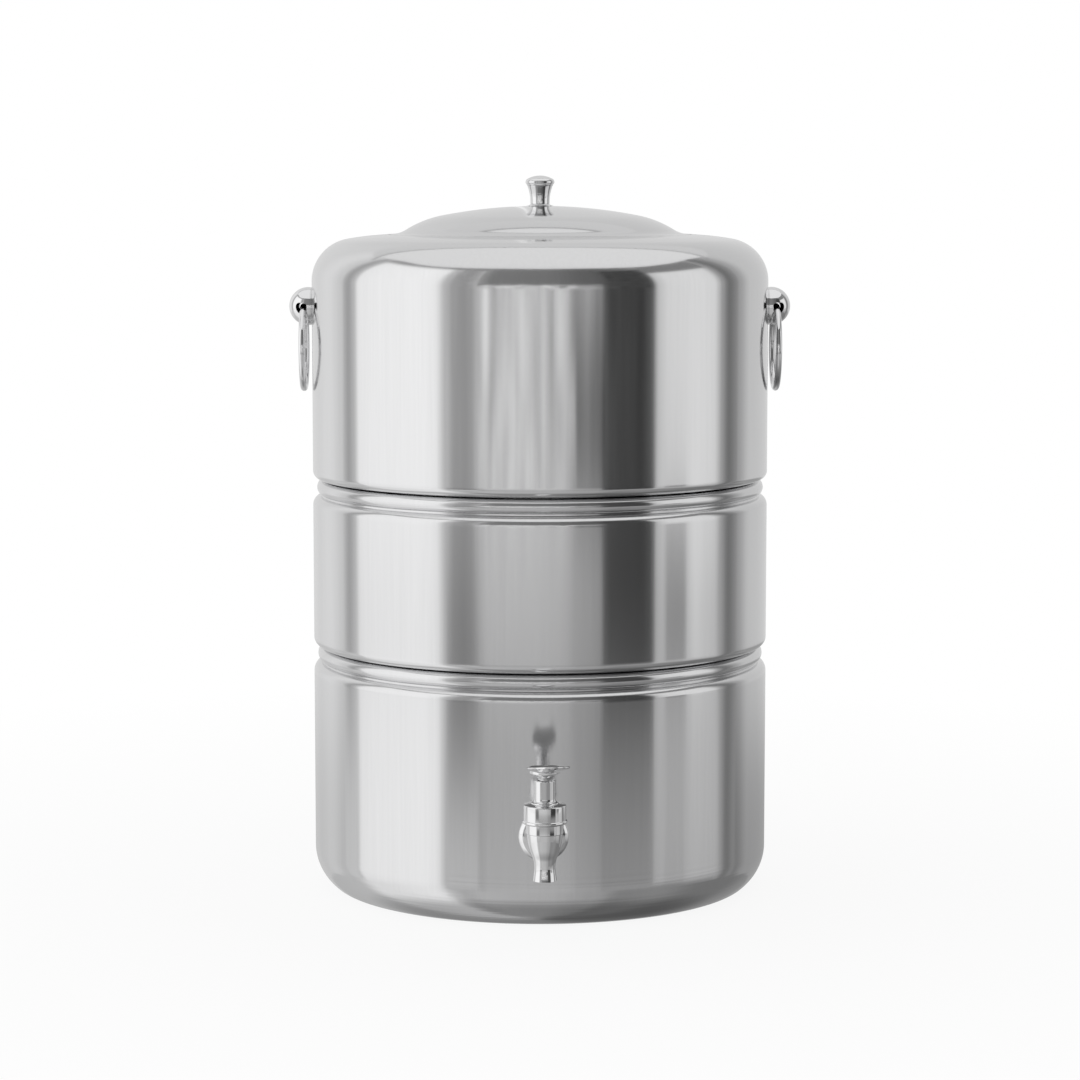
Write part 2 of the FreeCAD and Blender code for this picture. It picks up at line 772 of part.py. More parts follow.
def spindle_seal():
    """Rubber disc that closes the outlet."""
    bore = spindle_stem_radius + small
    path = Outline(bore, seat_z).to(seal_radius, seat_z)
    path.to(seal_radius, seat_z + seal_thickness).to(bore, seat_z + seal_thickness)
    return at_tap(path.turned())


def tap_spring():
    """Coil spring round the spindle, between its foot and the bonnet's ceiling."""
    low = seat_z + seal_thickness + spindle_foot_height + spring_wire_radius + 2 * small
    high = bonnet_top_z - bonnet_ceiling - spring_wire_radius - 2 * small
    mean = spindle_radius + spring_room + spring_wire_radius
    helix = Part.makeHelix((high - low) / spring_turns, high - low, mean)
    circle = Part.Circle(Vector(mean, 0, 0), Vector(0, 1, 0), spring_wire_radius)
    section = Part.Wire([circle.toShape()])
    coil = Part.Wire(helix.Edges).makePipeShell([section], True, True)
    coil.translate(Vector(0, 0, low))
    return at_tap(coil)


def tap_flange():
    """Domed escutcheon on the shank, just outside the gasket."""
    back = body_radius + gasket_thickness
    front = back + flange_thickness
    bow = (flange_radius - flange_bow, back + flange_bow_height)
    path = Outline(shank_radius + small, back).to(flange_radius, back)
    path.to(flange_radius, back + flange_edge).bulge(bow, (flange_radius - flange_slope, front))
    path.to(shank_radius + small, front)
    return facing_front(path.turned())


def facing_front(shape):
    """Turns a piece from the upright axis to the shank's axis, outward being the front."""
    shape.rotate(Vector(), Vector(1, 0, 0), 90)
    shape.translate(Vector(0, 0, tap_height))
    return shape


def outer_gasket():
    """Rubber gasket between the flange and the curved outer wall."""
    front = body_radius + gasket_thickness - small
    wall = Part.makeCylinder(body_radius + small, tap_height + 2 * flange_radius)
    return gasket(body_radius - gasket_root, front).cut(wall)


def inner_gasket():
    """Rubber gasket between the curved inner wall and the lock nut."""
    face = body_radius - sheet - small
    wall = Part.makeCylinder(face, tap_height + 2 * flange_radius)
    return gasket(face - inner_gasket_depth, body_radius).common(wall)


def gasket(back, front):
    """Round rubber disc with the shank's hole, between two distances from the pot's axis."""
    bore = shank_radius + gasket_bore_gap
    outer = flange_radius - gasket_inset
    path = Outline(bore, back).to(outer, back).to(outer, front).to(bore, front)
    return facing_front(path.turned())


def lock_nut():
    """Hexagon nut that clamps the tap from inside the tank."""
    face = body_radius - sheet - inner_gasket_depth - 2 * small
    nut = hexagon(nut_flats, nut_height, shank_radius + small)
    nut.translate(Vector(0, 0, face - nut_height))
    return facing_front(nut)


nodes = {
    "base_tank": base_tank(),
    "middle_tank": middle_tank(),
    "top_tank": top_tank(),
    "lid_shell": lid_shell(),
    "lid_skirt": lid_skirt(),
    "lid_knob": lid_knob(),
    "knob_screw": knob_screw(),
    "knob_washer": knob_washer(),
    "ring_boss_right": handle_boss(1),
    "ring_boss_left": handle_boss(-1),
    "ring_right": handle_ring(1),
    "ring_left": handle_ring(-1),
    "boss_washers": both_sides(boss_washer),
    "boss_nuts": both_sides(boss_nut),
    "tap_body": tap_body(),
    "tap_bonnet": tap_bonnet(),
    "tap_spindle": tap_spindle(),
    "spindle_ring": spindle_ring(),
    "spindle_seal": spindle_seal(),
    "tap_spring": tap_spring(),
    "tap_lever": tap_lever(),
    "lever_pin": lever_pin(),
    "tap_flange": tap_flange(),
    "outer_gasket": outer_gasket(),
    "inner_gasket": inner_gasket(),
    "lock_nut": lock_nut(),
}

os.makedirs("parts", exist_ok=True)
for name, shape in nodes.items():
    box = shape.BoundBox
    print(name, len(shape.Solids), shape.isValid(), round(shape.Volume), box)
    shape.exportStep("parts/" + name + ".step")
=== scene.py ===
# %% [markdown]
# # A water pot of three steel vessels
# The pot is drawn steel, polished round its wall, with turned and polished
# fittings. Almost everything on it was made on a lathe or a spinning chuck,
# so almost everything here is a half section that is spun about an axis.

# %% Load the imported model
import cmath
import json
import math
from collections import Counter
import bmesh
import bpy
from mathutils import Matrix, Vector


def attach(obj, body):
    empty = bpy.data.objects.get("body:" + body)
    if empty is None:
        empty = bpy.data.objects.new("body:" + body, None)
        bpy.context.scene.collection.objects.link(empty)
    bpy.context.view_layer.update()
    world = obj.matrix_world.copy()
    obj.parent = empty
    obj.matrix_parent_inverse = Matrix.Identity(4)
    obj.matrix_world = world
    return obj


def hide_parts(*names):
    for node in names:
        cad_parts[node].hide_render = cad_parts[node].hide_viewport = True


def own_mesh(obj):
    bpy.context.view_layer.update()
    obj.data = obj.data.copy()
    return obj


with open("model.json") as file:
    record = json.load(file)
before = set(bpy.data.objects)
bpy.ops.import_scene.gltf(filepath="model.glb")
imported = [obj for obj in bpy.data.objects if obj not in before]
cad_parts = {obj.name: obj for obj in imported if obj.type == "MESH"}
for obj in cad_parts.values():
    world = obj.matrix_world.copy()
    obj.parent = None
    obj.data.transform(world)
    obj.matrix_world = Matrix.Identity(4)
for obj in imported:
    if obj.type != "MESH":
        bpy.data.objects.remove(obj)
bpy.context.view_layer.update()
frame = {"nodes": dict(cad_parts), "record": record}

mm = 0.001
merge = 0.002 * mm
bodies = frame["record"]["behaviour"]["bodies"]
body_of_node = {node: body for body, nodes in bodies.items() for node in nodes}

# %% [markdown]
# ## The half section
# A lathe works from a profile. The profile is drawn here from one vertex: the
# tip is extruded along straight runs, and spun about a centre for each arc, so
# an arc stays a true arc. At the end the whole chain is spun about the axis.

# %% A pen that draws a half section and spins it
class HalfSection:
    """Chain of edges in the plane y = 0, in millimetres from the axis and the floor."""

    def __init__(self, r, z):
        self.bm = bmesh.new()
        self.tip = self.bm.verts.new((r * mm, 0, z * mm))
        self.first = (r, z)

    def to(self, *points):
        for r, z in points:
            self.tip = bmesh.ops.extrude_vert_indiv(self.bm, verts=[self.tip])["verts"][0]
            self.tip.co = (r * mm, 0, z * mm)
        return self

    def arc(self, r, z, radius, start, end, step=5):
        """Arc about a centre, from one angle to another, reached by a straight run."""
        turn = math.radians(start)
        self.to((r + radius * math.cos(turn), z + radius * math.sin(turn)))
        made = bmesh.ops.spin(
            self.bm, geom=[self.tip], cent=(r * mm, 0, z * mm), axis=(0, -1, 0),
            angle=math.radians(end - start), steps=max(2, round(abs(end - start) / step)))
        self.tip = [g for g in made["geom_last"] if isinstance(g, bmesh.types.BMVert)][0]
        return self

    def bulge(self, middle, end, step=8):
        """Arc from the tip through a middle point to an end point."""
        a = complex(self.tip.co.x / mm, self.tip.co.z / mm)
        b, c = complex(*middle), complex(*end)
        w = (c - a) / (b - a)
        centre = (b - a) * (w - abs(w) ** 2) / (2j * w.imag) + a
        radius = abs(a - centre)
        start, through, stop = (math.degrees(cmath.phase(p - centre)) for p in (a, b, c))
        sweep = (stop - start) % 360
        if (through - start) % 360 > sweep:
            sweep -= 360
        return self.arc(centre.real, centre.imag, radius, start, start + sweep, step)

    def dome(self, top, step=6):
        """Ball-shaped end from the tip to the axis."""
        r, rise = self.tip.co.x / mm, top - self.tip.co.z / mm
        radius = (r * r + rise * rise) / (2 * abs(rise))
        centre = top - math.copysign(radius, rise)
        start = math.degrees(math.atan2(self.tip.co.z / mm - centre, r))
        return self.arc(0, centre, radius, start, math.copysign(90, rise), step)

    def close(self):
        return self.to(self.first)

    def spun(self, steps):
        """The turned piece, its seam and its poles closed and its faces outwards."""
        bmesh.ops.spin(
            self.bm, geom=self.bm.verts[:] + self.bm.edges[:], cent=(0, 0, 0),
            axis=(0, 0, 1), angle=math.tau, steps=steps, use_merge=True)
        bmesh.ops.remove_doubles(self.bm, verts=self.bm.verts[:], dist=merge)
        bare = [edge for edge in self.bm.edges if not edge.link_faces]
        bmesh.ops.delete(self.bm, geom=bare, context="EDGES")
        bmesh.ops.recalc_face_normals(self.bm, faces=self.bm.faces[:])
        return self.bm


# %% A finished piece goes on its body
def finish_piece(bm, name, node, place=None, crease=28):
    """Makes the object, smooths it between its creases and puts it on its body."""
    if place is not None:
        bmesh.ops.transform(bm, matrix=place, verts=bm.verts[:])
    mesh = bpy.data.meshes.new(name)
    bm.to_mesh(mesh)
    bm.free()
    mesh.polygons.foreach_set("use_smooth", [True] * len(mesh.polygons))
    mesh.set_sharp_from_angle(angle=math.radians(crease))
    piece = bpy.data.objects.new(name, mesh)
    bpy.context.scene.collection.objects.link(piece)
    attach(piece, body_of_node[node])
    print(name, len(mesh.polygons), "faces")
    return piece


# %% [markdown]
# ## The vessels
# Each vessel is one drawn sheet, 0.8 mm thick. The section runs up the outside,
# over the rim and back down the inside, so the wall has its real thickness.
# Short runs next to each bend hold the wall's shading flat up to the bend.

# %% Sizes of the body, in millimetres, as in the model
body_radius = 96.0
sheet = 0.8
foot_radius = 85.0
foot_edge_radius = 5.5
foot_turn = 50.8
joint_low = 103.1
joint_high = 173.6
shoulder_start = 256.5
shoulder_radius = 18.0
shoulder_turn = 80.0
crown_radius = 120.0
crown_slope = 4.0
mouth_radius = 54.0
mouth_lip_radius = 1.2
mouth_neck_depth = 7.0
seat_gap = 0.3
joint_shoulder = 4.0
joint_shoulder_drop = 11.0
bead_radius = 3.4
bead_crease = 58.0
bead_centre_radius = body_radius - 5.1
bead_inner_radius = bead_centre_radius - 1.5
land_step = 0.75
spigot_radius = bead_inner_radius - 1.35
spigot_depth = 6.0
lower_edge_radius = 3.3
transfer_hole_radius = 6.0
transfer_lip = 3.0
hold = 0.8
wall_steps = 256


def polar(r, z, radius, degrees):
    """Point of a circle in the section."""
    turn = math.radians(degrees)
    return r + radius * math.cos(turn), z + radius * math.sin(turn)


# %% The rolled rim that carries the next vessel
def rim(path, joint):
    """Rounded shoulder, crease, bead and inner land, from the outer wall to the inner."""
    centre_r = body_radius - joint_shoulder
    centre_z = joint - joint_shoulder_drop
    bead_z = joint - bead_radius - seat_gap / 2
    crease_r = polar(bead_centre_radius, 0, bead_radius, -bead_crease)[0]
    turn = math.degrees(math.acos((crease_r - centre_r) / joint_shoulder))
    path.to((body_radius, centre_z - hold))
    path.arc(centre_r, centre_z, joint_shoulder, 0, turn)
    path.arc(bead_centre_radius, bead_z, bead_radius, -bead_crease, 90, step=7)
    land = bead_inner_radius - land_step
    path.to((bead_inner_radius, bead_z + bead_radius), (land, bead_z + bead_radius - land_step),
            (land, bead_z - bead_radius / 2), (centre_r, bead_z - bead_radius - sheet),
            (body_radius - sheet, centre_z))
    return path


def nested_foot(path, joint):
    """Stepped floor that stands in the rim below, from the inner wall to the outer."""
    seat = joint + seat_gap / 2
    corner_r = body_radius - lower_edge_radius
    corner_z = seat + lower_edge_radius
    floor = joint - spigot_depth
    hole = transfer_hole_radius
    path.arc(corner_r, corner_z, lower_edge_radius - sheet, 0, -90, step=9)
    path.to((spigot_radius - sheet, seat + sheet), (spigot_radius - sheet, floor + sheet),
            (hole, floor + sheet), (hole, floor - transfer_lip),
            (hole + sheet, floor - transfer_lip), (hole + sheet, floor),
            (spigot_radius - sheet, floor), (spigot_radius, floor + sheet),
            (spigot_radius, seat))
    path.arc(corner_r, corner_z, lower_edge_radius, -90, 0, step=7)
    return path.to((body_radius, corner_z + hold))


# %% The base: flat foot, soft lower corner, straight wall
cosine, sine = math.cos(math.radians(foot_turn)), math.sin(math.radians(foot_turn))
corner_radius = (body_radius - foot_radius - foot_edge_radius * cosine) / (1 - cosine)
corner_z = foot_edge_radius + (corner_radius - foot_edge_radius) * sine
corner_r = body_radius - corner_radius
flat_foot = foot_radius - 2

path = HalfSection(0, 0).to((flat_foot, 0))
path.arc(foot_radius, foot_edge_radius, foot_edge_radius, -90, -foot_turn)
path.arc(corner_r, corner_z, corner_radius, -foot_turn, 0, step=2.5)
path.to((body_radius, corner_z + hold))
rim(path, joint_low)
path.arc(corner_r, corner_z, corner_radius - sheet, 0, -foot_turn)
path.arc(foot_radius, foot_edge_radius, foot_edge_radius - sheet, -foot_turn, -90, step=9)
path.to((0, sheet))
base_vessel = finish_piece(path.spun(wall_steps), "base_vessel", "base_tank")

# %% The middle vessel
path = nested_foot(rim(HalfSection(body_radius, joint_high - joint_shoulder_drop - 2 * hold),
                       joint_high), joint_low)
middle_vessel = finish_piece(path.close().spun(wall_steps), "middle_vessel", "middle_tank")

# %% [markdown]
# ## The shoulder, the ledge and the lid
# The top vessel was spun in over a former: a tight bend, then a broad, almost
# flat crown. A ledge is pressed into the crown round the mouth. The lid's rim
# bends hollow and runs out flat on that ledge, flush with the crown, so from
# the front the lid seems to grow out of the shoulder.

# %% Heights on the shoulder, on the ledge and on the lid's flat edge
lid_edge_radius = mouth_radius + 9.4
lid_land = 1.5
lid_gap = 0.1
ledge_radius = lid_edge_radius + 0.2
centre_r = body_radius - shoulder_radius
bend_end = polar(centre_r, shoulder_start, shoulder_radius, shoulder_turn)
crown = polar(*bend_end, -crown_radius, shoulder_turn)
slope = 90 - crown_slope
fall = math.tan(math.radians(crown_slope))
upright_sheet = sheet / math.cos(math.radians(crown_slope))


def shoulder_height(r, depth=0.0):
    """Height of the straight slope, on the outer face or a depth below it."""
    end_r, end_z = polar(*crown, crown_radius - depth, slope)
    return end_z + (end_r - r) * fall


def land_height(r):
    return shoulder_height(ledge_radius) + (ledge_radius - r) * fall


def ledge_height(r):
    return land_height(r) - upright_sheet - lid_gap


# %% The top vessel
lip_r = mouth_radius + mouth_lip_radius
lip_z = ledge_height(lip_r) - mouth_lip_radius / math.cos(math.radians(crown_slope))
neck_end = lip_z - mouth_neck_depth
step_r = ledge_radius + sheet

path = HalfSection(body_radius, shoulder_start - 2 * hold).to((body_radius, shoulder_start - hold))
path.arc(centre_r, shoulder_start, shoulder_radius, 0, shoulder_turn, step=2)
path.arc(*crown, crown_radius, shoulder_turn, slope, step=1)
path.to((ledge_radius, shoulder_height(ledge_radius)), (ledge_radius, ledge_height(ledge_radius)))
path.arc(lip_r, lip_z, mouth_lip_radius, slope, 180, step=12)
path.to((mouth_radius, neck_end), (mouth_radius + sheet, neck_end))
path.arc(lip_r, lip_z, mouth_lip_radius - sheet, 180, slope, step=24)
path.to((step_r, ledge_height(step_r) - upright_sheet), (step_r, shoulder_height(step_r, sheet)))
path.arc(*crown, crown_radius - sheet, slope, shoulder_turn, step=2)
path.arc(centre_r, shoulder_start, shoulder_radius - sheet, shoulder_turn, 0, step=8)
top_vessel = finish_piece(nested_foot(path, joint_high).close().spun(wall_steps),
                          "top_vessel", "top_tank")

# %% The lid
lid_hollow_radius = 12.0
lid_rim_radius = 45.0
steep, shallow = 90 - 32.0, 90 - 11.0
hollow_start = lid_edge_radius - lid_land
hollow = polar(hollow_start, land_height(hollow_start), lid_hollow_radius, slope)
lid_rim = polar(*polar(*hollow, -lid_hollow_radius, steep), -lid_rim_radius, steep)
meet = polar(*lid_rim, lid_rim_radius, shallow)
lid_crown_radius = meet[0] / math.cos(math.radians(shallow))
lid_crown_z = meet[1] - lid_crown_radius * math.sin(math.radians(shallow))
lid_top = lid_crown_z + lid_crown_radius
screw_hole = 2.2
hole_turn = 90 - math.degrees(math.asin(screw_hole / lid_crown_radius))

path = HalfSection(lid_edge_radius, land_height(lid_edge_radius) - upright_sheet)
path.to((lid_edge_radius, land_height(lid_edge_radius)))
path.arc(*hollow, -lid_hollow_radius, slope, steep, step=1.5)
path.arc(*lid_rim, lid_rim_radius, steep, shallow, step=1)
path.arc(0, lid_crown_z, lid_crown_radius, shallow, hole_turn, step=0.6)
path.arc(0, lid_crown_z, lid_crown_radius - sheet, hole_turn, shallow, step=2)
path.arc(*lid_rim, lid_rim_radius - sheet, shallow, steep, step=4)
path.arc(*hollow, -lid_hollow_radius - sheet, steep, slope, step=4)
lid_dome = finish_piece(path.close().spun(wall_steps), "lid_dome", "lid_shell")
print("lid top", round(lid_top, 2), "its edge", lid_edge_radius, "from the axis, at",
      round(land_height(lid_edge_radius), 2))

# %% [markdown]
# ## The knob
# One turned piece with a flared foot, a slim waist and a rounded head. Three
# fine grooves run round the head, one round the waist and one over the foot.

# %% The knob, in heights above the lid
knob_bore = 1.9
knob_bore_depth = 7.0
knob_gap = 0.02
path = HalfSection(knob_bore, knob_gap).to((5.6, knob_gap), (5.6, 0.15))
path.bulge((4.4, 0.42), (4.02, 0.72)).to((3.86, 0.85), (4.05, 1.0), (4.05, 2.4))
path.bulge((4.16, 4.0), (4.38, 5.15)).to((4.27, 5.28), (4.46, 5.42))
path.bulge((4.78, 6.8), (5.14, 7.85)).to((5.02, 8.03), (5.28, 8.15))
path.bulge((5.45, 8.55), (5.66, 8.92)).to((5.56, 9.1), (5.82, 9.22))
path.bulge((6.08, 9.8), (6.08, 10.2)).to((5.92, 10.32), (5.98, 10.5))
path.bulge((5.72, 10.95), (5.3, 11.3)).dome(12.68)
path.to((0, knob_bore_depth), (knob_bore, knob_bore_depth)).close()
knob = finish_piece(path.spun(96), "knob", "lid_knob",
                    Matrix.Translation((0, 0, lid_top * mm)), crease=24)

# %% [markdown]
# ## Cut and joined pieces
# The tap, the lever and the bosses are turned shapes that were drilled, slotted
# or welded together. Each turned shape is closed, so one can be joined to or
# taken from another exactly.

# %% Joining and cutting closed shapes
def combined(target, tool, operation):
    """The target joined with, or cut by, the tool. Both shapes are used up."""
    holders = []
    for bm in (target, tool):
        bmesh.ops.scale(bm, vec=(1 / mm,) * 3, verts=bm.verts[:])
        mesh = bpy.data.meshes.new("work")
        bm.to_mesh(mesh)
        bm.free()
        holders.append(bpy.data.objects.new("work", mesh))
        bpy.context.scene.collection.objects.link(holders[-1])
    cut = holders[0].modifiers.new("cut", "BOOLEAN")
    cut.operation = operation
    cut.solver = "MANIFOLD"
    cut.object = holders[1]
    shape = holders[0].evaluated_get(bpy.context.evaluated_depsgraph_get())
    result = bmesh.new()
    result.from_mesh(shape.to_mesh())
    shape.to_mesh_clear()
    for holder in holders:
        mesh = holder.data
        bpy.data.objects.remove(holder)
        bpy.data.meshes.remove(mesh)
    bmesh.ops.scale(result, vec=(mm,) * 3, verts=result.verts[:])
    bmesh.ops.remove_doubles(result, verts=result.verts[:], dist=0.0005 * mm)
    return result


def moved(bm, matrix):
    bmesh.ops.transform(bm, matrix=matrix, verts=bm.verts[:])
    return bm


def tube(radius, start, end, steps=48):
    """Closed round bar between two points in millimetres."""
    start, end = Vector(start) * mm, Vector(end) * mm
    bm = bmesh.new()
    bmesh.ops.create_cone(bm, cap_ends=True, segments=steps, radius1=radius * mm,
                          radius2=radius * mm, depth=(end - start).length)
    turn = (end - start).to_track_quat("Z", "Y").to_matrix().to_4x4()
    return moved(bm, Matrix.Translation((start + end) / 2) @ turn)


# %% [markdown]
# ## The tap
# A tulip barrel on a threaded shank, a screwed cap with a bead and a slim neck,
# and a domed flange against the wall. The lever's paddle is dished like a
# spoon and tips back, so from the front it is seen almost edge on.

# %% Sizes of the tap, in millimetres
tap_y = -124.0
tap_z = 38.6
barrel_top = 49.1
bonnet_top = 56.6
neck_top = 66.2
chamber = 4.1
guide = 2.55
ring_groove = 3.45
shank_radius = 5.0
water_way = 2.2
tap_steps = 128
at_tap = Matrix.Translation((0, tap_y * mm, 0))
facing_front = Matrix.Translation((0, 0, tap_z * mm)) @ Matrix.Rotation(math.pi / 2, 4, "X")

# %% Barrel, spout and shank
path = HalfSection(5.65, barrel_top).to((7.2, barrel_top), (7.4, barrel_top - 0.2))
path.to((7.4, barrel_top - 3.6)).bulge((7.34, barrel_top - 3.86), (7.12, barrel_top - 4.0))
path.bulge((6.55, 40.4), (5.25, 36.3), step=3).bulge((4.35, 33.5), (4.15, 31.5), step=4)
path.to((4.15, 31.2), (4.72, 26.45)).bulge((4.72, 26.34), (4.62, 26.3), step=20)
path.to((3.2, 26.3), (3.1, 26.4), (3.1, 36.3), (chamber, 36.3), (chamber, 44.35), (5.65, 44.35))
barrel = moved(path.close().spun(tap_steps), at_tap)
shank = tube(shank_radius, (0, -118.6, tap_z), (0, -84.0, tap_z), 96)
drill = tube(water_way, (0, -121.5, tap_z), (0, -83.0, tap_z))
barrel = combined(combined(barrel, shank, "UNION"), drill, "DIFFERENCE")
tap_barrel = finish_piece(barrel, "tap_barrel", "tap_body")

# %% Cap and neck
path = HalfSection(chamber, 44.4)
path.to((5.6, 44.4), (5.6, barrel_top + 0.02), (8.4, barrel_top + 0.02))
path.bulge((8.85, barrel_top + 0.75), (8.4, barrel_top + 1.5), step=18)
path.to((8.4, barrel_top + 1.7), (8.4, bonnet_top - 0.6))
path.bulge((8.27, bonnet_top - 0.2), (7.9, bonnet_top), step=20)
path.to((7.6, bonnet_top + 0.06), (5.55, bonnet_top + 0.45))
path.bulge((5.38, bonnet_top + 0.62), (5.3, bonnet_top + 0.9), step=20)
path.bulge((4.48, bonnet_top + 1.35), (4.15, bonnet_top + 2.2), step=8)
path.to((4.15, bonnet_top + 2.5), (4.15, neck_top - 0.3), (3.85, neck_top), (guide, neck_top))
path.to((guide, bonnet_top + 3.6), (ring_groove, bonnet_top + 3.6),
        (ring_groove, bonnet_top + 1.6), (guide, bonnet_top + 1.6))
path.to((guide, bonnet_top - 2.2), (chamber, bonnet_top - 2.2))
tap_cap = finish_piece(path.close().spun(tap_steps), "tap_cap", "tap_bonnet", at_tap)

# %% Flange
flange_hole = shank_radius + 0.02
path = HalfSection(flange_hole, 97.6).to((9.8, 97.6), (10.0, 97.8), (10.0, 98.3))
path.bulge((8.6, 99.7), (6.8, 100.18), step=5).to((flange_hole, 100.18))
flange = finish_piece(path.close().spun(tap_steps), "flange", "tap_flange", facing_front)

# %% [markdown]
# The lever is made upright about the tap's axis and then turned to the side.
# The paddle is a shallow bowl with a level rim: one disc, pushed down into the
# dish on its upper side and further down on its lower side, then stretched.

# %% The dished paddle
pivot_z = 68.0
paddle_half_width = 8.33
paddle_half_length = 13.98
paddle_ahead = 9.5
dish_rim = 3.35
dish_depth = 1.2
bow_depth = 1.8
rim_thickness = 0.9
rim_round = 0.4
tip_back = math.radians(-10.3)

paddle = bmesh.new()
tip = paddle.verts.new((0, 0, 0))
for turn in range(5, 95, 5):
    tip = bmesh.ops.extrude_vert_indiv(paddle, verts=[tip])["verts"][0]
    tip.co.x = math.sin(math.radians(turn))
bmesh.ops.spin(paddle, geom=paddle.verts[:] + paddle.edges[:], cent=(0, 0, 0), axis=(0, 0, 1),
               angle=math.tau, steps=96, use_merge=True)
bmesh.ops.remove_doubles(paddle, verts=paddle.verts[:], dist=0.001)
under = bmesh.ops.extrude_face_region(paddle, geom=paddle.faces[:])
top_side = {g for g in under["geom"] if isinstance(g, bmesh.types.BMVert)}
tilt = Matrix.Rotation(tip_back, 3, "X")
for vert in paddle.verts:
    out = vert.co.x ** 2 + vert.co.y ** 2
    if vert in top_side:
        rise = dish_rim - dish_depth * (1 - out ** 2)
    else:
        rise = dish_rim - rim_thickness - bow_depth * (1 - out)
    flat = (paddle_half_width * vert.co.x, paddle_half_length * vert.co.y - paddle_ahead, rise)
    vert.co = (tilt @ Vector(flat) + Vector((0, 0, pivot_z))) * mm
bmesh.ops.recalc_face_normals(paddle, faces=paddle.faces[:])
rim_edges = [e for e in paddle.edges if e.calc_face_angle(0) > 0.9]
bmesh.ops.bevel(paddle, geom=rim_edges, offset=rim_round * mm, offset_type="OFFSET",
                segments=4, profile=0.5, affect="EDGES", material=-1)
print("paddle", len(paddle.faces), "faces,", len(rim_edges), "rim edges rounded")

# %% [markdown]
# The hub flares up from the neck into the paddle. It is spun as a round piece
# and then stretched fore and aft, more at its foot than at its top, and its top
# is pressed up to just under the dish, so the two join without a step.

# %% The flared hub
hub_low = neck_top + 0.22
hub_high = pivot_z + 8
hub_radius = 6.05
top_ring_step = 0.55
hub_foot = 0.3
flare_top = hub_low + 2.75
foot_stretch = 1.5
top_stretch = 1.08
under_dish = 0.2


def dish_height(x, y):
    """Height just under the dished top, in millimetres."""
    out = (x / paddle_half_width) ** 2 + ((y + paddle_ahead) / paddle_half_length) ** 2
    rise = dish_rim - dish_depth * (1 - out ** 2) - under_dish
    return pivot_z + rise + y * math.sin(tip_back)


path = HalfSection(0, hub_low)
path.to((2.85, hub_low), (3.0, hub_low + 0.15), (3.05, hub_low + hub_foot))
path.bulge((4.0, hub_low + 1.5), (6.0, flare_top), step=6)
path.to((hub_radius, flare_top + 0.2), (hub_radius, hub_high))
path.to(*[(hub_radius - top_ring_step * step, hub_high) for step in range(1, 12)])
hub = path.spun(96)
for vert in hub.verts:
    climb = (vert.co.z / mm - hub_low - hub_foot) / (flare_top - hub_low - hub_foot)
    climb = min(max(climb, 0), 1)
    vert.co.y *= foot_stretch - (foot_stretch - top_stretch) * climb
    if vert.co.z > (hub_high - 0.01) * mm:
        vert.co.z = dish_height(vert.co.x / mm, vert.co.y / mm) * mm
print("hub", len(hub.faces), "faces, flare up to", round(flare_top, 2))

# %% [markdown]
# The spindle's flat tongue stands in the hub, and a pin through both carries
# the lever. The slot for the tongue is cut from below, with a round end at the
# pin, and the pin's hole is drilled across.

# %% The slot, the pin's hole and the finished lever
slot_half_width = 1.5
slot_end_radius = 2.15
slot_length = 6.77
slot_ceiling = pivot_z + 0.6
pin_radius = 0.8
at_lever = at_tap @ Matrix.Rotation(math.radians(7.5), 4, "Z")

slot_end = tube(slot_end_radius, (-slot_half_width, 0, pivot_z), (slot_half_width, 0, pivot_z), 64)
slot_low = hub_low - 1
slot = bmesh.new()
bmesh.ops.create_cube(slot, size=1)
moved(slot, Matrix.Translation((0, 0, (slot_low + slot_ceiling) / 2 * mm)) @
      Matrix.Diagonal((2 * slot_half_width * mm, slot_length * mm,
                       (slot_ceiling - slot_low) * mm, 1)))
lever_shape = combined(hub, paddle, "UNION")
lever_shape = combined(lever_shape, combined(slot_end, slot, "UNION"), "DIFFERENCE")
pin_hole = tube(pin_radius, (-8, 0, pivot_z), (8, 0, pivot_z), 24)
lever_shape = combined(lever_shape, pin_hole, "DIFFERENCE")
lever = finish_piece(lever_shape, "lever", "tap_lever", at_lever, crease=30)

# %% The cross pin
pin_end = 4.0
path = HalfSection(0, -pin_end).to((0.6, -pin_end))
path.bulge((0.74, -3.94), (pin_radius, -3.8), step=20).to((pin_radius, 3.8))
path.bulge((0.74, 3.94), (0.6, pin_end), step=20).to((0, pin_end))
across = Matrix.Translation((0, 0, pivot_z * mm)) @ Matrix.Rotation(math.pi / 2, 4, "Y")
cross_pin = finish_piece(moved(path.spun(32), across), "cross_pin", "lever_pin", at_lever)

# %% [markdown]
# ## The spring
# A coil of wire lies between the spindle's foot and the ceiling of the cap, and
# presses the seal on its seat. A small circle spun about the tap's axis while
# it climbs is exactly how such a coil is wound. It shortens as the spindle rises.

# %% The spring
spring_low, spring_high = 39.54, 54.36
spring_wire, spring_coil, spring_turns = 0.4, 3.3, 6
wire_sides = 12
coil_steps = 40 * spring_turns
coil = bmesh.new()
bmesh.ops.create_circle(coil, segments=wire_sides, radius=spring_wire * mm)
moved(coil, Matrix.Translation((spring_coil * mm, 0, (spring_low + spring_wire) * mm)) @
      Matrix.Rotation(math.pi / 2, 4, "X"))
climb = (spring_high - spring_low - 2 * spring_wire) * mm / coil_steps
bmesh.ops.spin(coil, geom=coil.verts[:] + coil.edges[:], cent=(0, 0, 0), axis=(0, 0, 1),
               dvec=(0, 0, climb), angle=math.tau * spring_turns, steps=coil_steps)
bmesh.ops.holes_fill(coil, edges=[e for e in coil.edges if e.is_boundary], sides=wire_sides)
bmesh.ops.recalc_face_normals(coil, faces=coil.faces[:])
spring = finish_piece(coil, "spring", "tap_spring", at_tap, crease=45)

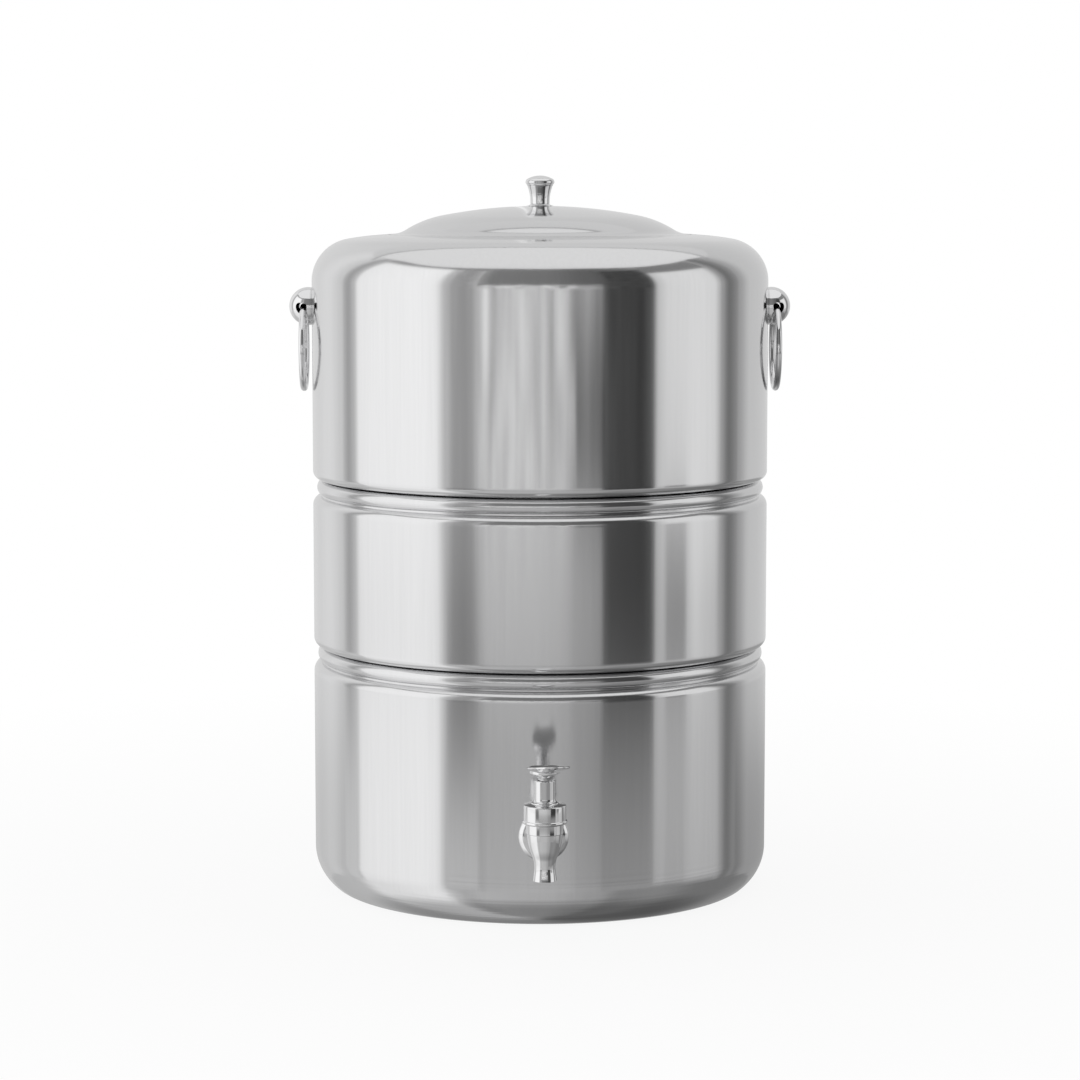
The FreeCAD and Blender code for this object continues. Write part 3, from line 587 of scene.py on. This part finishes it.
# %% [markdown]
# ## The handles
# Each ring hangs through a round boss. The ring is bent, so a straight bore
# would be too tight: the hole widens where the wire passes as the ring swings.

# %% A closed ring of round wire
def wire_ring(radius, wire, centre, axis, steps=144, sides=24):
    """Closed ring of round wire about an axis through its centre, in millimetres."""
    bm = bmesh.new()
    bmesh.ops.create_circle(bm, segments=sides, radius=wire * mm)
    moved(bm, Matrix.Translation((radius * mm, 0, 0)) @ Matrix.Rotation(math.pi / 2, 4, "X"))
    bmesh.ops.spin(bm, geom=bm.verts[:] + bm.edges[:], cent=(0, 0, 0), axis=(0, 0, 1),
                   angle=math.tau, steps=steps, use_merge=True)
    bmesh.ops.remove_doubles(bm, verts=bm.verts[:], dist=0.0005 * mm)
    bmesh.ops.recalc_face_normals(bm, faces=bm.faces[:])
    turn = Vector(axis).to_track_quat("Z", "Y").to_matrix().to_4x4()
    return moved(bm, Matrix.Translation(Vector(centre) * mm) @ turn)


# %% The hole that the ring swings in
handle_height = 246.0
ring_plane = 99.5
ring_radius = 17.2
ring_wire = 1.4
bore = 1.7
bore_half = 9.0
swing_in, swing_out = 3.0, 95.0
swing = swing_in + swing_out

bore_end = ring_radius - math.sqrt((ring_radius - bore) ** 2 - bore_half ** 2)
path = HalfSection(0, -bore_half).to((bore_end, -bore_half))
path.bulge((bore, 0), (bore_end, bore_half), step=2).to((0, bore_half)).close()
passage = path.bm
bmesh.ops.remove_doubles(passage, verts=passage.verts[:], dist=merge)
bmesh.ops.spin(passage, geom=passage.verts[:] + passage.edges[:], cent=(0, 0, 0),
               axis=(0, 0, 1), angle=math.radians(swing), steps=28)
bmesh.ops.remove_doubles(passage, verts=passage.verts[:], dist=merge)
bmesh.ops.holes_fill(passage, edges=passage.edges[:], sides=0)
bmesh.ops.recalc_face_normals(passage, faces=passage.faces[:])
passage = combined(passage, tube(bore - 0.02, (0, 0, -bore_half), (0, 0, bore_half)), "UNION")
for turn in (0.0, swing):
    bent = wire_ring(ring_radius, bore - 0.05, (ring_radius, 0, 0), (0, 1, 0), 160, 32)
    moved(bent, Matrix.Rotation(math.radians(turn), 4, "Z"))
    passage = combined(passage, bent, "UNION")
moved(passage, Matrix.Translation((ring_plane * mm, 0, handle_height * mm)) @
      Matrix.Rotation(math.pi / 2, 4, "X") @ Matrix.Rotation(math.radians(-90 - swing_in), 4, "Z"))
print("passage", len(passage.faces), "faces, swing", swing, "degrees")

# %% The bosses: a ball cut to the wall, its stud, and the hole
boss_radius = 8.0
boss_centre = 97.6
stud_radius = 2.5
reach = 2 * boss_radius
ball = bmesh.new()
bmesh.ops.create_uvsphere(ball, u_segments=96, v_segments=64, radius=boss_radius * mm)
moved(ball, Matrix.Translation((boss_centre * mm, 0, handle_height * mm)) @
      Matrix.Rotation(math.pi / 2, 4, "Y"))
wall = tube(body_radius + 0.02, (0, 0, handle_height - reach), (0, 0, handle_height + reach), 1024)
stud = tube(stud_radius, (89.2, 0, handle_height), (97.0, 0, handle_height))
ball = combined(combined(ball, wall, "DIFFERENCE"), stud, "UNION")
ball = combined(ball, passage, "DIFFERENCE")
mirrored = ball.copy()
bmesh.ops.scale(mirrored, vec=(-1, 1, 1), verts=mirrored.verts[:])
bmesh.ops.reverse_faces(mirrored, faces=mirrored.faces[:])
boss_right = finish_piece(ball, "boss_right", "ring_boss_right", crease=35)
boss_left = finish_piece(mirrored, "boss_left", "ring_boss_left", crease=35)

# %% The rings
loops = []
for side, word in ((1, "right"), (-1, "left")):
    centre = (side * ring_plane, 0, handle_height - ring_radius)
    loops.append(finish_piece(wire_ring(ring_radius, ring_wire, centre, (1, 0, 0)),
                              "loop_" + word, "ring_" + word))

# %% The pieces take the places of the model's nodes
def open_edges(mesh):
    """How many edges don't join exactly two faces: none on a closed piece."""
    uses = Counter(loop.edge_index for loop in mesh.loops)
    return sum(1 for edge in mesh.edges if uses[edge.index] != 2)


made_for = (
    (base_vessel, "base_tank", "brushed_wall"), (middle_vessel, "middle_tank", "brushed_wall"),
    (top_vessel, "top_tank", "brushed_wall"), (lid_dome, "lid_shell", "satin_lid"),
    (knob, "lid_knob", "polished_fitting"), (tap_barrel, "tap_body", "polished_fitting"),
    (tap_cap, "tap_bonnet", "polished_fitting"), (flange, "tap_flange", "polished_fitting"),
    (lever, "tap_lever", "polished_fitting"), (cross_pin, "lever_pin", "plain_steel"),
    (spring, "tap_spring", "plain_steel"), (boss_right, "ring_boss_right", "polished_fitting"),
    (boss_left, "ring_boss_left", "polished_fitting"),
    (loops[0], "ring_right", "polished_fitting"), (loops[1], "ring_left", "polished_fitting"))
for piece, node, slot_name in made_for:
    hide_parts(node)
    print(piece.name, "for", node, "open edges", open_edges(piece.data))

# %% [markdown]
# ## Finishes
# Polished steel is all reflection: the colour is nearly even, and what the eye
# reads as a finish is how far the polish spreads the reflections, and which
# way. The wall was polished on a turning chuck, the fittings on a soft wheel.

# %% A new material, and sums of values in it
def new_material(name):
    material = bpy.data.materials.new(name)
    material.use_nodes = True
    print("material", name)
    nodes = material.node_tree.nodes
    return material, nodes, material.node_tree.links, nodes["Principled BSDF"]


def fill(links, socket, value):
    """Sets a socket to a number, or links another node's output to it."""
    if isinstance(value, (int, float)):
        socket.default_value = value
    else:
        links.new(value, socket)


def math_node(nodes, links, operation, *values):
    node = nodes.new("ShaderNodeMath")
    node.operation = operation
    for socket, value in zip(node.inputs, values):
        fill(links, socket, value)
    return node.outputs[0]


def mixed(nodes, links, share, first, second):
    """First where the share is 0, second where it is 1."""
    node = nodes.new("ShaderNodeMix")
    for key, value in (("Factor", share), ("A", first), ("B", second)):
        fill(links, node.inputs[key], value)
    return node.outputs["Result"]


def ranged(nodes, links, source, low, high, from_low=0.3, from_high=0.7):
    """A value's range, by default the middle of a noise, taken to low and high."""
    node = nodes.new("ShaderNodeMapRange")
    links.new(source, node.inputs["Value"])
    for key, value in (("From Min", from_low), ("From Max", from_high),
                       ("To Min", low), ("To Max", high)):
        node.inputs[key].default_value = value
    return node.outputs["Result"]


# %% Noise, and the places that it is read at
def noise(nodes, links, source, scale, stretch=(1, 1, 1), detail=2.0):
    """Noise over a place, most often the piece's own, stretched along its axes."""
    mapping = nodes.new("ShaderNodeMapping")
    mapping.inputs["Scale"].default_value = stretch
    links.new(source, mapping.inputs["Vector"])
    texture = nodes.new("ShaderNodeTexNoise")
    texture.inputs["Scale"].default_value = scale
    texture.inputs["Detail"].default_value = detail
    links.new(mapping.outputs["Vector"], texture.inputs["Vector"])
    return texture.outputs["Fac"]


def split_place(nodes, links):
    """Object coordinates, whole and as a node with X, Y and Z."""
    coordinates = nodes.new("ShaderNodeTexCoord").outputs["Object"]
    split = nodes.new("ShaderNodeSeparateXYZ")
    links.new(coordinates, split.inputs[0])
    return coordinates, split.outputs


def flat_place(nodes, links, x, y):
    """A place made of two values, for a noise to read."""
    node = nodes.new("ShaderNodeCombineXYZ")
    links.new(x, node.inputs["X"])
    links.new(y, node.inputs["Y"])
    return node.outputs[0]


# %% [markdown]
# The wall shows two marks of its making. Fine streaks run up and down it, and
# low on the base the lines that turning left run round it. Both are a slight
# bump, too fine for the mesh. An anisotropic polish does the rest.

# %% Lines left by turning
fine_scale = 900
line_depth = 0.5


def turned_lines(nodes, links, top):
    """Normal with lines round the axis, full low down and gone at the top."""
    place = split_place(nodes, links)[1]
    squares = [math_node(nodes, links, "POWER", place[axis], 2.0) for axis in "XY"]
    reach = math_node(nodes, links, "SQRT", math_node(nodes, links, "ADD", *squares))
    across = flat_place(nodes, links, reach, place["Z"])
    lines = noise(nodes, links, across, fine_scale, detail=3)
    low_down = ranged(nodes, links, place["Z"], 1, 0, top * 0.6, top)
    bump = nodes.new("ShaderNodeBump")
    bump.inputs["Distance"].default_value = 0.1 * mm
    links.new(math_node(nodes, links, "MULTIPLY", low_down, line_depth), bump.inputs["Strength"])
    links.new(lines, bump.inputs["Height"])
    return bump.outputs["Normal"]


# %% Steel of the walls
cloud_scale = 22
streak_shade = 0.975
quarter_turn = 0.25


def wall_steel(name, tint, rough_low, rough_high, spread, streak_depth, lines_below=0.0):
    """Steel polished round the axis: its reflections spread mostly up and down."""
    material, nodes, links, shader = new_material(name)
    coordinates = nodes.new("ShaderNodeTexCoord").outputs["Object"]
    tangent = nodes.new("ShaderNodeTangent")
    tangent.direction_type = "RADIAL"
    tangent.axis = "Z"
    links.new(tangent.outputs["Tangent"], shader.inputs["Tangent"])
    shader.inputs["Metallic"].default_value = 1.0
    shader.inputs["Anisotropic"].default_value = spread
    shader.inputs["Anisotropic Rotation"].default_value = quarter_turn
    streaks = noise(nodes, links, coordinates, fine_scale, (1, 1, 0.02), 3)
    cloud = noise(nodes, links, coordinates, cloud_scale, (1, 1, 0.6))
    links.new(ranged(nodes, links, cloud, rough_low, rough_high), shader.inputs["Roughness"])
    colour = nodes.new("ShaderNodeMix")
    colour.data_type = "RGBA"
    colour.inputs["A"].default_value = (*[c * streak_shade for c in tint], 1)
    colour.inputs["B"].default_value = (*tint, 1)
    links.new(ranged(nodes, links, streaks, 0, 1), colour.inputs["Factor"])
    links.new(colour.outputs["Result"], shader.inputs["Base Color"])
    bump = nodes.new("ShaderNodeBump")
    bump.inputs["Strength"].default_value = streak_depth
    bump.inputs["Distance"].default_value = 0.02 * mm
    links.new(streaks, bump.inputs["Height"])
    if lines_below:
        links.new(turned_lines(nodes, links, lines_below), bump.inputs["Normal"])
    links.new(bump.outputs["Normal"], shader.inputs["Normal"])
    return material


steel_tint = (0.72, 0.72, 0.725)
wall_bright = wall_steel("wall_bright", (0.73, 0.73, 0.735), 0.105, 0.125, 0.65, 0.12)
wall_soft = wall_steel("wall_soft", steel_tint, 0.12, 0.14, 0.55, 0.15)
base_steel = wall_steel("base_steel", steel_tint, 0.12, 0.14, 0.55, 0.15, lines_below=24 * mm)
lid_polish = wall_steel("lid_polish", steel_tint, 0.07, 0.10, 0.3, 0.12)

# %% [markdown]
# The fittings shine almost like mirrors, with faint smears from the wheel. The
# small parts inside are as they came from the lathe, duller and darker. The
# gaskets are black rubber with a fine grain.

# %% Steel of the fittings and the small parts, and rubber
def grained(name, tint, metallic, rough_low, rough_high, scale, stretch=(1, 1, 1), detail=2.0):
    """One even colour with a grain in its roughness."""
    material, nodes, links, shader = new_material(name)
    coordinates = nodes.new("ShaderNodeTexCoord").outputs["Object"]
    shader.inputs["Metallic"].default_value = metallic
    shader.inputs["Base Color"].default_value = (*tint, 1)
    grain = noise(nodes, links, coordinates, scale, stretch, detail)
    links.new(ranged(nodes, links, grain, rough_low, rough_high), shader.inputs["Roughness"])
    return material


smears = (260, (1, 1, 0.4), 3)
fitting_bright = grained("fitting_bright", (0.80, 0.80, 0.805), 1.0, 0.03, 0.08, *smears)
small_part_steel = grained("small_part_steel", (0.60, 0.60, 0.61), 1.0, 0.18, 0.32, *smears)
rubber = grained("rubber", (0.035, 0.035, 0.037), 0.0, 0.55, 0.75, 1500)

# %% Give every piece and every carried-over node its finish
piece_finish = (
    (base_steel, (base_vessel,)), (wall_soft, (middle_vessel,)), (wall_bright, (top_vessel,)),
    (lid_polish, (lid_dome,)), (small_part_steel, (cross_pin, spring)),
    (fitting_bright, (knob, tap_barrel, tap_cap, flange, lever, boss_right, boss_left, *loops)))
for finish, pieces in piece_finish:
    for piece in pieces:
        piece.data.materials.append(finish)

node_finish = (
    (small_part_steel, ("knob_screw", "knob_washer", "boss_washers", "boss_nuts",
                        "tap_spindle", "lock_nut")),
    (lid_polish, ("lid_skirt",)),
    (rubber, ("spindle_ring", "spindle_seal", "outer_gasket", "inner_gasket")))
for finish, names in node_finish:
    for node in names:
        mesh = frame["nodes"][node].data
        mesh.materials.clear()
        mesh.materials.append(finish)
        print(node, "->", finish.name)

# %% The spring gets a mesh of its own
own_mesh(spring)

# %% [markdown]
# ## Studio
# Bare metal needs something to reflect. The pot stands between two tall soft
# boxes, with a curtained window far in front, a lit ceiling panel above and
# pale walls behind. Each is a card that only the metal sees. The gaps between
# the cards draw the dark bands down the wall. Low down a card melts into the
# haze of the pale table, which is what the base's lower corner reflects.

# %% Values that change along a card
fold_scale = 9.0
fold_length = 2.2
folds_from, folds_full = -0.05, 0.03


def along(nodes, links, source, pairs):
    """A value read off a row of (place, share) pairs, softly joined."""
    first, last = pairs[0][0], pairs[-1][0]
    ramp = nodes.new("ShaderNodeValToRGB")
    ramp.color_ramp.interpolation = "EASE"
    elements = ramp.color_ramp.elements
    for index, (place, share) in enumerate(pairs):
        if 0 < index < len(pairs) - 1:
            element = elements.new((place - first) / (last - first))
        else:
            element = elements[0] if index == 0 else elements[-1]
        element.color = (share, share, share, 1)
    links.new(ranged(nodes, links, source, 0, 1, first, last), ramp.inputs["Fac"])
    return ramp.outputs["Color"]


def folds(nodes, links, turn, height, streak):
    """Uneven light of hanging cloth. Low on the card it is even."""
    lower = math_node(nodes, links, "MULTIPLY", height, fold_length)
    cloth = noise(nodes, links, flat_place(nodes, links, turn, lower), fold_scale, detail=3.0)
    uneven = ranged(nodes, links, cloth, 1 - streak, 1 + streak, 0.36, 0.64)
    high_up = ranged(nodes, links, height, 0, 1, folds_from, folds_full)
    return mixed(nodes, links, high_up, 1.0, uneven)


# %% Light of a card
def glow(name, turns, levels=(), streak=0.0, lying=False, haze=()):
    """Emission by turn round the pot and by height, or by reach on a card that lies flat.

    Streak is how far folds vary it. Haze is a strength and a row of (height, share) pairs:
    the card melts into that strength.
    """
    material, nodes, links, shader = new_material(name)
    nodes.remove(shader)
    emission = nodes.new("ShaderNodeEmission")
    links.new(emission.outputs[0], nodes["Material Output"].inputs["Surface"])
    coordinates, place = split_place(nodes, links)
    forward = math_node(nodes, links, "MULTIPLY", place["Y"], -1.0)
    turn = math_node(nodes, links, "ARCTAN2", place["X"], forward)
    strength = along(nodes, links, turn, [(math.radians(at), share) for at, share in turns])
    if streak:
        uneven = folds(nodes, links, turn, place["Z"], streak)
        strength = math_node(nodes, links, "MULTIPLY", strength, uneven)
    if haze:
        melted = along(nodes, links, place["Z"], haze[1])
        strength = mixed(nodes, links, melted, strength, haze[0])
    if levels:
        level = place["Z"]
        if lying:
            reach = nodes.new("ShaderNodeVectorMath")
            reach.operation = "LENGTH"
            links.new(coordinates, reach.inputs[0])
            level = reach.outputs["Value"]
        share = along(nodes, links, level, levels)
        strength = math_node(nodes, links, "MULTIPLY", strength, share)
    links.new(strength, emission.inputs["Strength"])
    return material


# %% Pieces of the stage
def stage_piece(bm, name, material):
    mesh = bpy.data.meshes.new(name)
    bm.to_mesh(mesh)
    bm.free()
    mesh.materials.append(material)
    piece = bpy.data.objects.new(name, mesh)
    bpy.context.scene.collection.objects.link(piece)
    return piece


def stage_card(bm, name, material):
    """A card that the metal sees and the camera doesn't."""
    stage_piece(bm, name, material).visible_camera = False


# %% A curved card round the pot
card_distance = 2.0
card_step = 3
upper_half = 0.25


def height_at(elevation):
    """Height that a card reaches for an elevation seen from the pot's upper half."""
    return upper_half + card_distance * math.tan(math.radians(elevation))


def card(name, low, high, turns, levels=(), streak=0.0, haze=()):
    """A card bent round the pot: its turns are counted from the front towards the right."""
    turn_from, turn_to = turns[0][0], turns[-1][0]
    bm = bmesh.new()
    foot = bm.verts.new((0, -card_distance, low))
    bmesh.ops.extrude_vert_indiv(bm, verts=[foot])["verts"][0].co.z = high
    bmesh.ops.rotate(bm, verts=bm.verts[:], cent=(0, 0, 0),
                     matrix=Matrix.Rotation(math.radians(turn_from), 3, "Z"))
    bmesh.ops.spin(bm, geom=bm.verts[:] + bm.edges[:], cent=(0, 0, 0), axis=(0, 0, 1),
                   angle=math.radians(turn_to - turn_from),
                   steps=max(4, round((turn_to - turn_from) / card_step)))
    stage_card(bm, name, glow(name, turns, levels, streak, haze=haze))
    print(name, "turns", turn_from, turn_to)


# %% The cards round the pot, from their lowest level up
deep = -1.0
card("soft_box_left", deep, height_at(42),
     [(-105, 0.62), (-101, 1.10), (-84, 1.14), (-62, 1.16), (-53, 1.12), (-47, 0.58)],
     [(-0.8, 0.90), (-0.3, 0.96), (-0.21, 0.96), (-0.14, 0.88), (-0.08, 0.98), (0.0, 1.0),
      (height_at(38), 1.0), (height_at(42), 0.5)])
card("over_box_left", height_at(42), height_at(48), [(-105, 0.38), (-47, 0.32)])
card("frame_left", deep, height_at(46), [(-115, 0.60), (-110, 0.44), (-105, 0.60)],
     haze=(0.72, [(-0.34, 1.0), (-0.18, 0.0)]))
card("gap_left", deep, height_at(41),
     [(-47, 0.62), (-43, 0.42), (-38, 0.38), (-34, 0.44), (-31, 0.60)],
     [(-0.8, 0.8), (-0.36, 1.0), (-0.24, 0.52), (-0.14, 0.55), (-0.06, 0.95), (0.0, 1.0)], 0.15,
     (0.66, [(-0.32, 1.0), (-0.22, 0.0)]))
card("window", deep, height_at(8),
     [(-31, 0.58), (-26, 0.76), (-4, 0.76), (6, 0.72), (12, 0.66), (16.5, 0.56)],
     [(-0.38, 0.80), (-0.30, 0.60), (-0.22, 0.66), (-0.12, 0.86), (0.0, 0.94), (height_at(4), 1.0),
      (height_at(8), 0.6)], 0.95, (0.66, [(-0.40, 0.6), (-0.26, 0.3), (-0.20, 0.0)]))
card("curtain", deep, height_at(8), [(16.5, 0.52), (20, 0.50), (28.5, 0.44), (30.5, 0.12)],
     [(-0.38, 0.85), (-0.30, 0.62), (-0.22, 0.68), (-0.14, 1.0), (-0.05, 1.0), (0.01, 0.30),
      (0.11, 0.40), (0.16, 0.55), (0.20, 1.0), (height_at(8), 0.7)], 0.5,
     (0.56, [(-0.40, 0.6), (-0.26, 0.3), (-0.20, 0.0)]))
card("wall_over_window", height_at(8), height_at(48),
     [(-31, 0.36), (-24, 0.24), (0, 0.22), (24, 0.15), (30, 0.13)])
card("gap_right", deep, height_at(39),
     [(30, 0.11), (34, 0.07), (50, 0.06), (54, 0.08), (56.5, 0.16)],
     [(-0.8, 0.8), (-0.38, 0.78), (-0.14, 0.7), (0.0, 1.1)], 0.4,
     (0.47, [(-0.38, 1.0), (-0.29, 0.8), (-0.18, 0.0)]))
card("over_gap_left", height_at(41), height_at(48), [(-47, 0.34), (-31, 0.30)])
card("over_gap_right", height_at(39), height_at(48), [(30, 0.15), (44, 0.18), (56.5, 0.30)])
card("soft_box_right", -0.03, height_at(31),
     [(56.5, 0.44), (59, 0.74), (65, 0.88), (84, 0.92), (94, 0.88), (99, 0.56)],
     [(0.0, 1.0), (height_at(28), 1.0), (height_at(31), 0.5)])
card("below_box_right", deep, -0.03,
     [(56.5, 0.40), (58, 0.68), (62, 0.70), (64, 0.34), (74.5, 0.34), (76.5, 0.80), (81, 0.98),
      (90, 0.86), (96, 0.78), (99, 0.50)],
     [(-0.8, 0.56), (-0.44, 0.86), (-0.34, 1.0), (-0.20, 1.0), (-0.15, 0.72), (-0.10, 0.82),
      (-0.05, 1.0)], 0.0, (0.56, [(-0.23, 0.86), (-0.17, 0.0)]))
card("over_box_right", height_at(31), height_at(45), [(56.5, 0.24), (99, 0.26)])
card("frame_right", deep, height_at(45), [(99, 0.44), (106, 0.20), (114, 0.32)])
card("far_wall_right", deep, height_at(60), [(114, 0.42), (128, 0.68), (179.9, 0.72)],
     [(-0.36, 0.56), (-0.16, 1.0)])
card("far_wall_left", deep, height_at(60),
     [(-179.9, 0.72), (-150, 0.80), (-130, 0.90), (-115, 0.76)],
     [(-0.36, 0.82), (-0.16, 1.0)])


# %% The ceiling panel and the table under the pot
def flat_card(name, x_from, x_to, y_from, y_to, height, turns, levels=()):
    bm = bmesh.new()
    bmesh.ops.create_grid(bm, x_segments=1, y_segments=1, size=0.5)
    bmesh.ops.scale(bm, verts=bm.verts[:], vec=(x_to - x_from, y_to - y_from, 1))
    bmesh.ops.translate(bm, verts=bm.verts[:],
                        vec=((x_from + x_to) / 2, (y_from + y_to) / 2, height))
    stage_card(bm, name, glow(name, turns, levels, lying=True))
    print(name, "lies at", height)


def even(share):
    """The same strength at every turn."""
    return [(-180, share), (180, share)]


ceiling, table = 1.77, -0.8
panel_half_width, panel_half_depth = 1.5, 1.14
panel_middle = -0.235
panel_back, back_half_width = 0.90, 1.47
frame_back = 0.97
panel = bmesh.new()
bmesh.ops.create_circle(panel, cap_ends=True, segments=64, radius=1.0)
bmesh.ops.scale(panel, verts=panel.verts[:], vec=(panel_half_width, panel_half_depth, 1))
bmesh.ops.translate(panel, verts=panel.verts[:], vec=(0, panel_middle, ceiling))
for vert in panel.verts:
    if vert.co.y > 0:
        vert.co = (math.copysign(back_half_width, vert.co.x), panel_back, ceiling)
bmesh.ops.remove_doubles(panel, verts=panel.verts[:], dist=0.001)
stage_card(panel, "ceiling_panel", glow("ceiling_panel", even(0.92)))
flat_card("ceiling_frame", -3.0, 3.0, panel_back, frame_back, ceiling, even(0.40))
flat_card("ceiling_behind", -3.0, 3.0, frame_back, 3.0, 1.9, even(0.76))
# The table card is painted darker near its middle: a painted shadow of the pot on the table, which
# the base's lower corner reflects. It is also lighter under the left soft box.
flat_card("table_below", -2.0, 2.0, -2.0, 2.0, table,
          [(-180, 0.5), (-115, 0.62), (-98, 0.94), (-55, 1.04), (-46, 0.62), (-40, 0.52),
           (-30, 0.58), (0, 0.54), (28, 0.42), (42, 0.28), (64, 0.30), (95, 0.22), (120, 0.22),
           (150, 0.30), (180, 0.5)],
          [(0.9, 0.52), (1.35, 1.0)])

# %% [markdown]
# ## Floor and surroundings
# The floor is pale and rough, and carries the pot's shadow. The camera sees it
# turn into pure white away from the pot, so it has no horizon. The world is
# white too, but its light on the pot is held lower.

# %% The floor
floor_paint, nodes, links, shader = new_material("floor_paint")
shader.inputs["Base Color"].default_value = (0.9, 0.9, 0.9, 1)
shader.inputs["Roughness"].default_value = 0.9
path_kind = nodes.new("ShaderNodeLightPath")
white = nodes.new("ShaderNodeEmission")
blend = nodes.new("ShaderNodeMixShader")
away = nodes.new("ShaderNodeVectorMath")
away.operation = "LENGTH"
links.new(nodes.new("ShaderNodeTexCoord").outputs["Object"], away.inputs[0])
near, far = 0.14, 0.55
least, most = 0.90, 1.0
whiteness = ranged(nodes, links, away.outputs["Value"], least, most, near, far)
share = math_node(nodes, links, "MULTIPLY", path_kind.outputs["Is Camera Ray"], whiteness)
links.new(share, blend.inputs["Fac"])
links.new(shader.outputs[0], blend.inputs[1])
links.new(white.outputs[0], blend.inputs[2])
links.new(blend.outputs[0], nodes["Material Output"].inputs["Surface"])
bm = bmesh.new()
bmesh.ops.create_grid(bm, x_segments=1, y_segments=1, size=4)
floor = stage_piece(bm, "floor", floor_paint)
floor.visible_glossy = False
print("floor", tuple(round(side, 2) for side in floor.dimensions))

# %% The white surroundings
world = bpy.data.worlds.new("surroundings")
bpy.context.scene.world = world
world.use_nodes = True
nodes, links = world.node_tree.nodes, world.node_tree.links
background = nodes["Background"]
path_kind = nodes.new("ShaderNodeLightPath")
seen = math_node(nodes, links, "MAXIMUM", path_kind.outputs["Is Camera Ray"],
                 path_kind.outputs["Is Glossy Ray"])
seen = math_node(nodes, links, "MAXIMUM", seen, path_kind.outputs["Is Transmission Ray"])
world_light, seen_white = 0.7, 1.0
links.new(ranged(nodes, links, seen, world_light, seen_white, 0, 1), background.inputs["Strength"])
background.inputs["Color"].default_value = (1, 1, 1, 1)
print("the world lights at", world_light, "and is seen at", seen_white)

# %% [markdown]
# ## Camera
# The camera stands almost level with the lid and looks a little down. It is
# turned less than a degree round the pot, because the tap in the picture
# stands a little to the right of the pot's axis.

# %% The camera
camera_reach = 1.392888
camera_height = 0.301318
camera_turn = math.radians(0.85)
camera_pitch = math.radians(6.3346)
camera = bpy.data.objects.new("camera", bpy.data.cameras.new("camera"))
camera.data.lens = 109.915
camera.data.sensor_width = 36
camera.location = (-camera_reach * math.sin(camera_turn), -camera_reach * math.cos(camera_turn),
                   camera_height)
camera.rotation_euler = (math.pi / 2 - camera_pitch, 0, -camera_turn)
bpy.context.scene.collection.objects.link(camera)
bpy.context.scene.camera = camera
bpy.context.scene.view_settings.view_transform = "Standard"
print("camera at", tuple(round(place, 3) for place in camera.location), "lens", camera.data.lens)
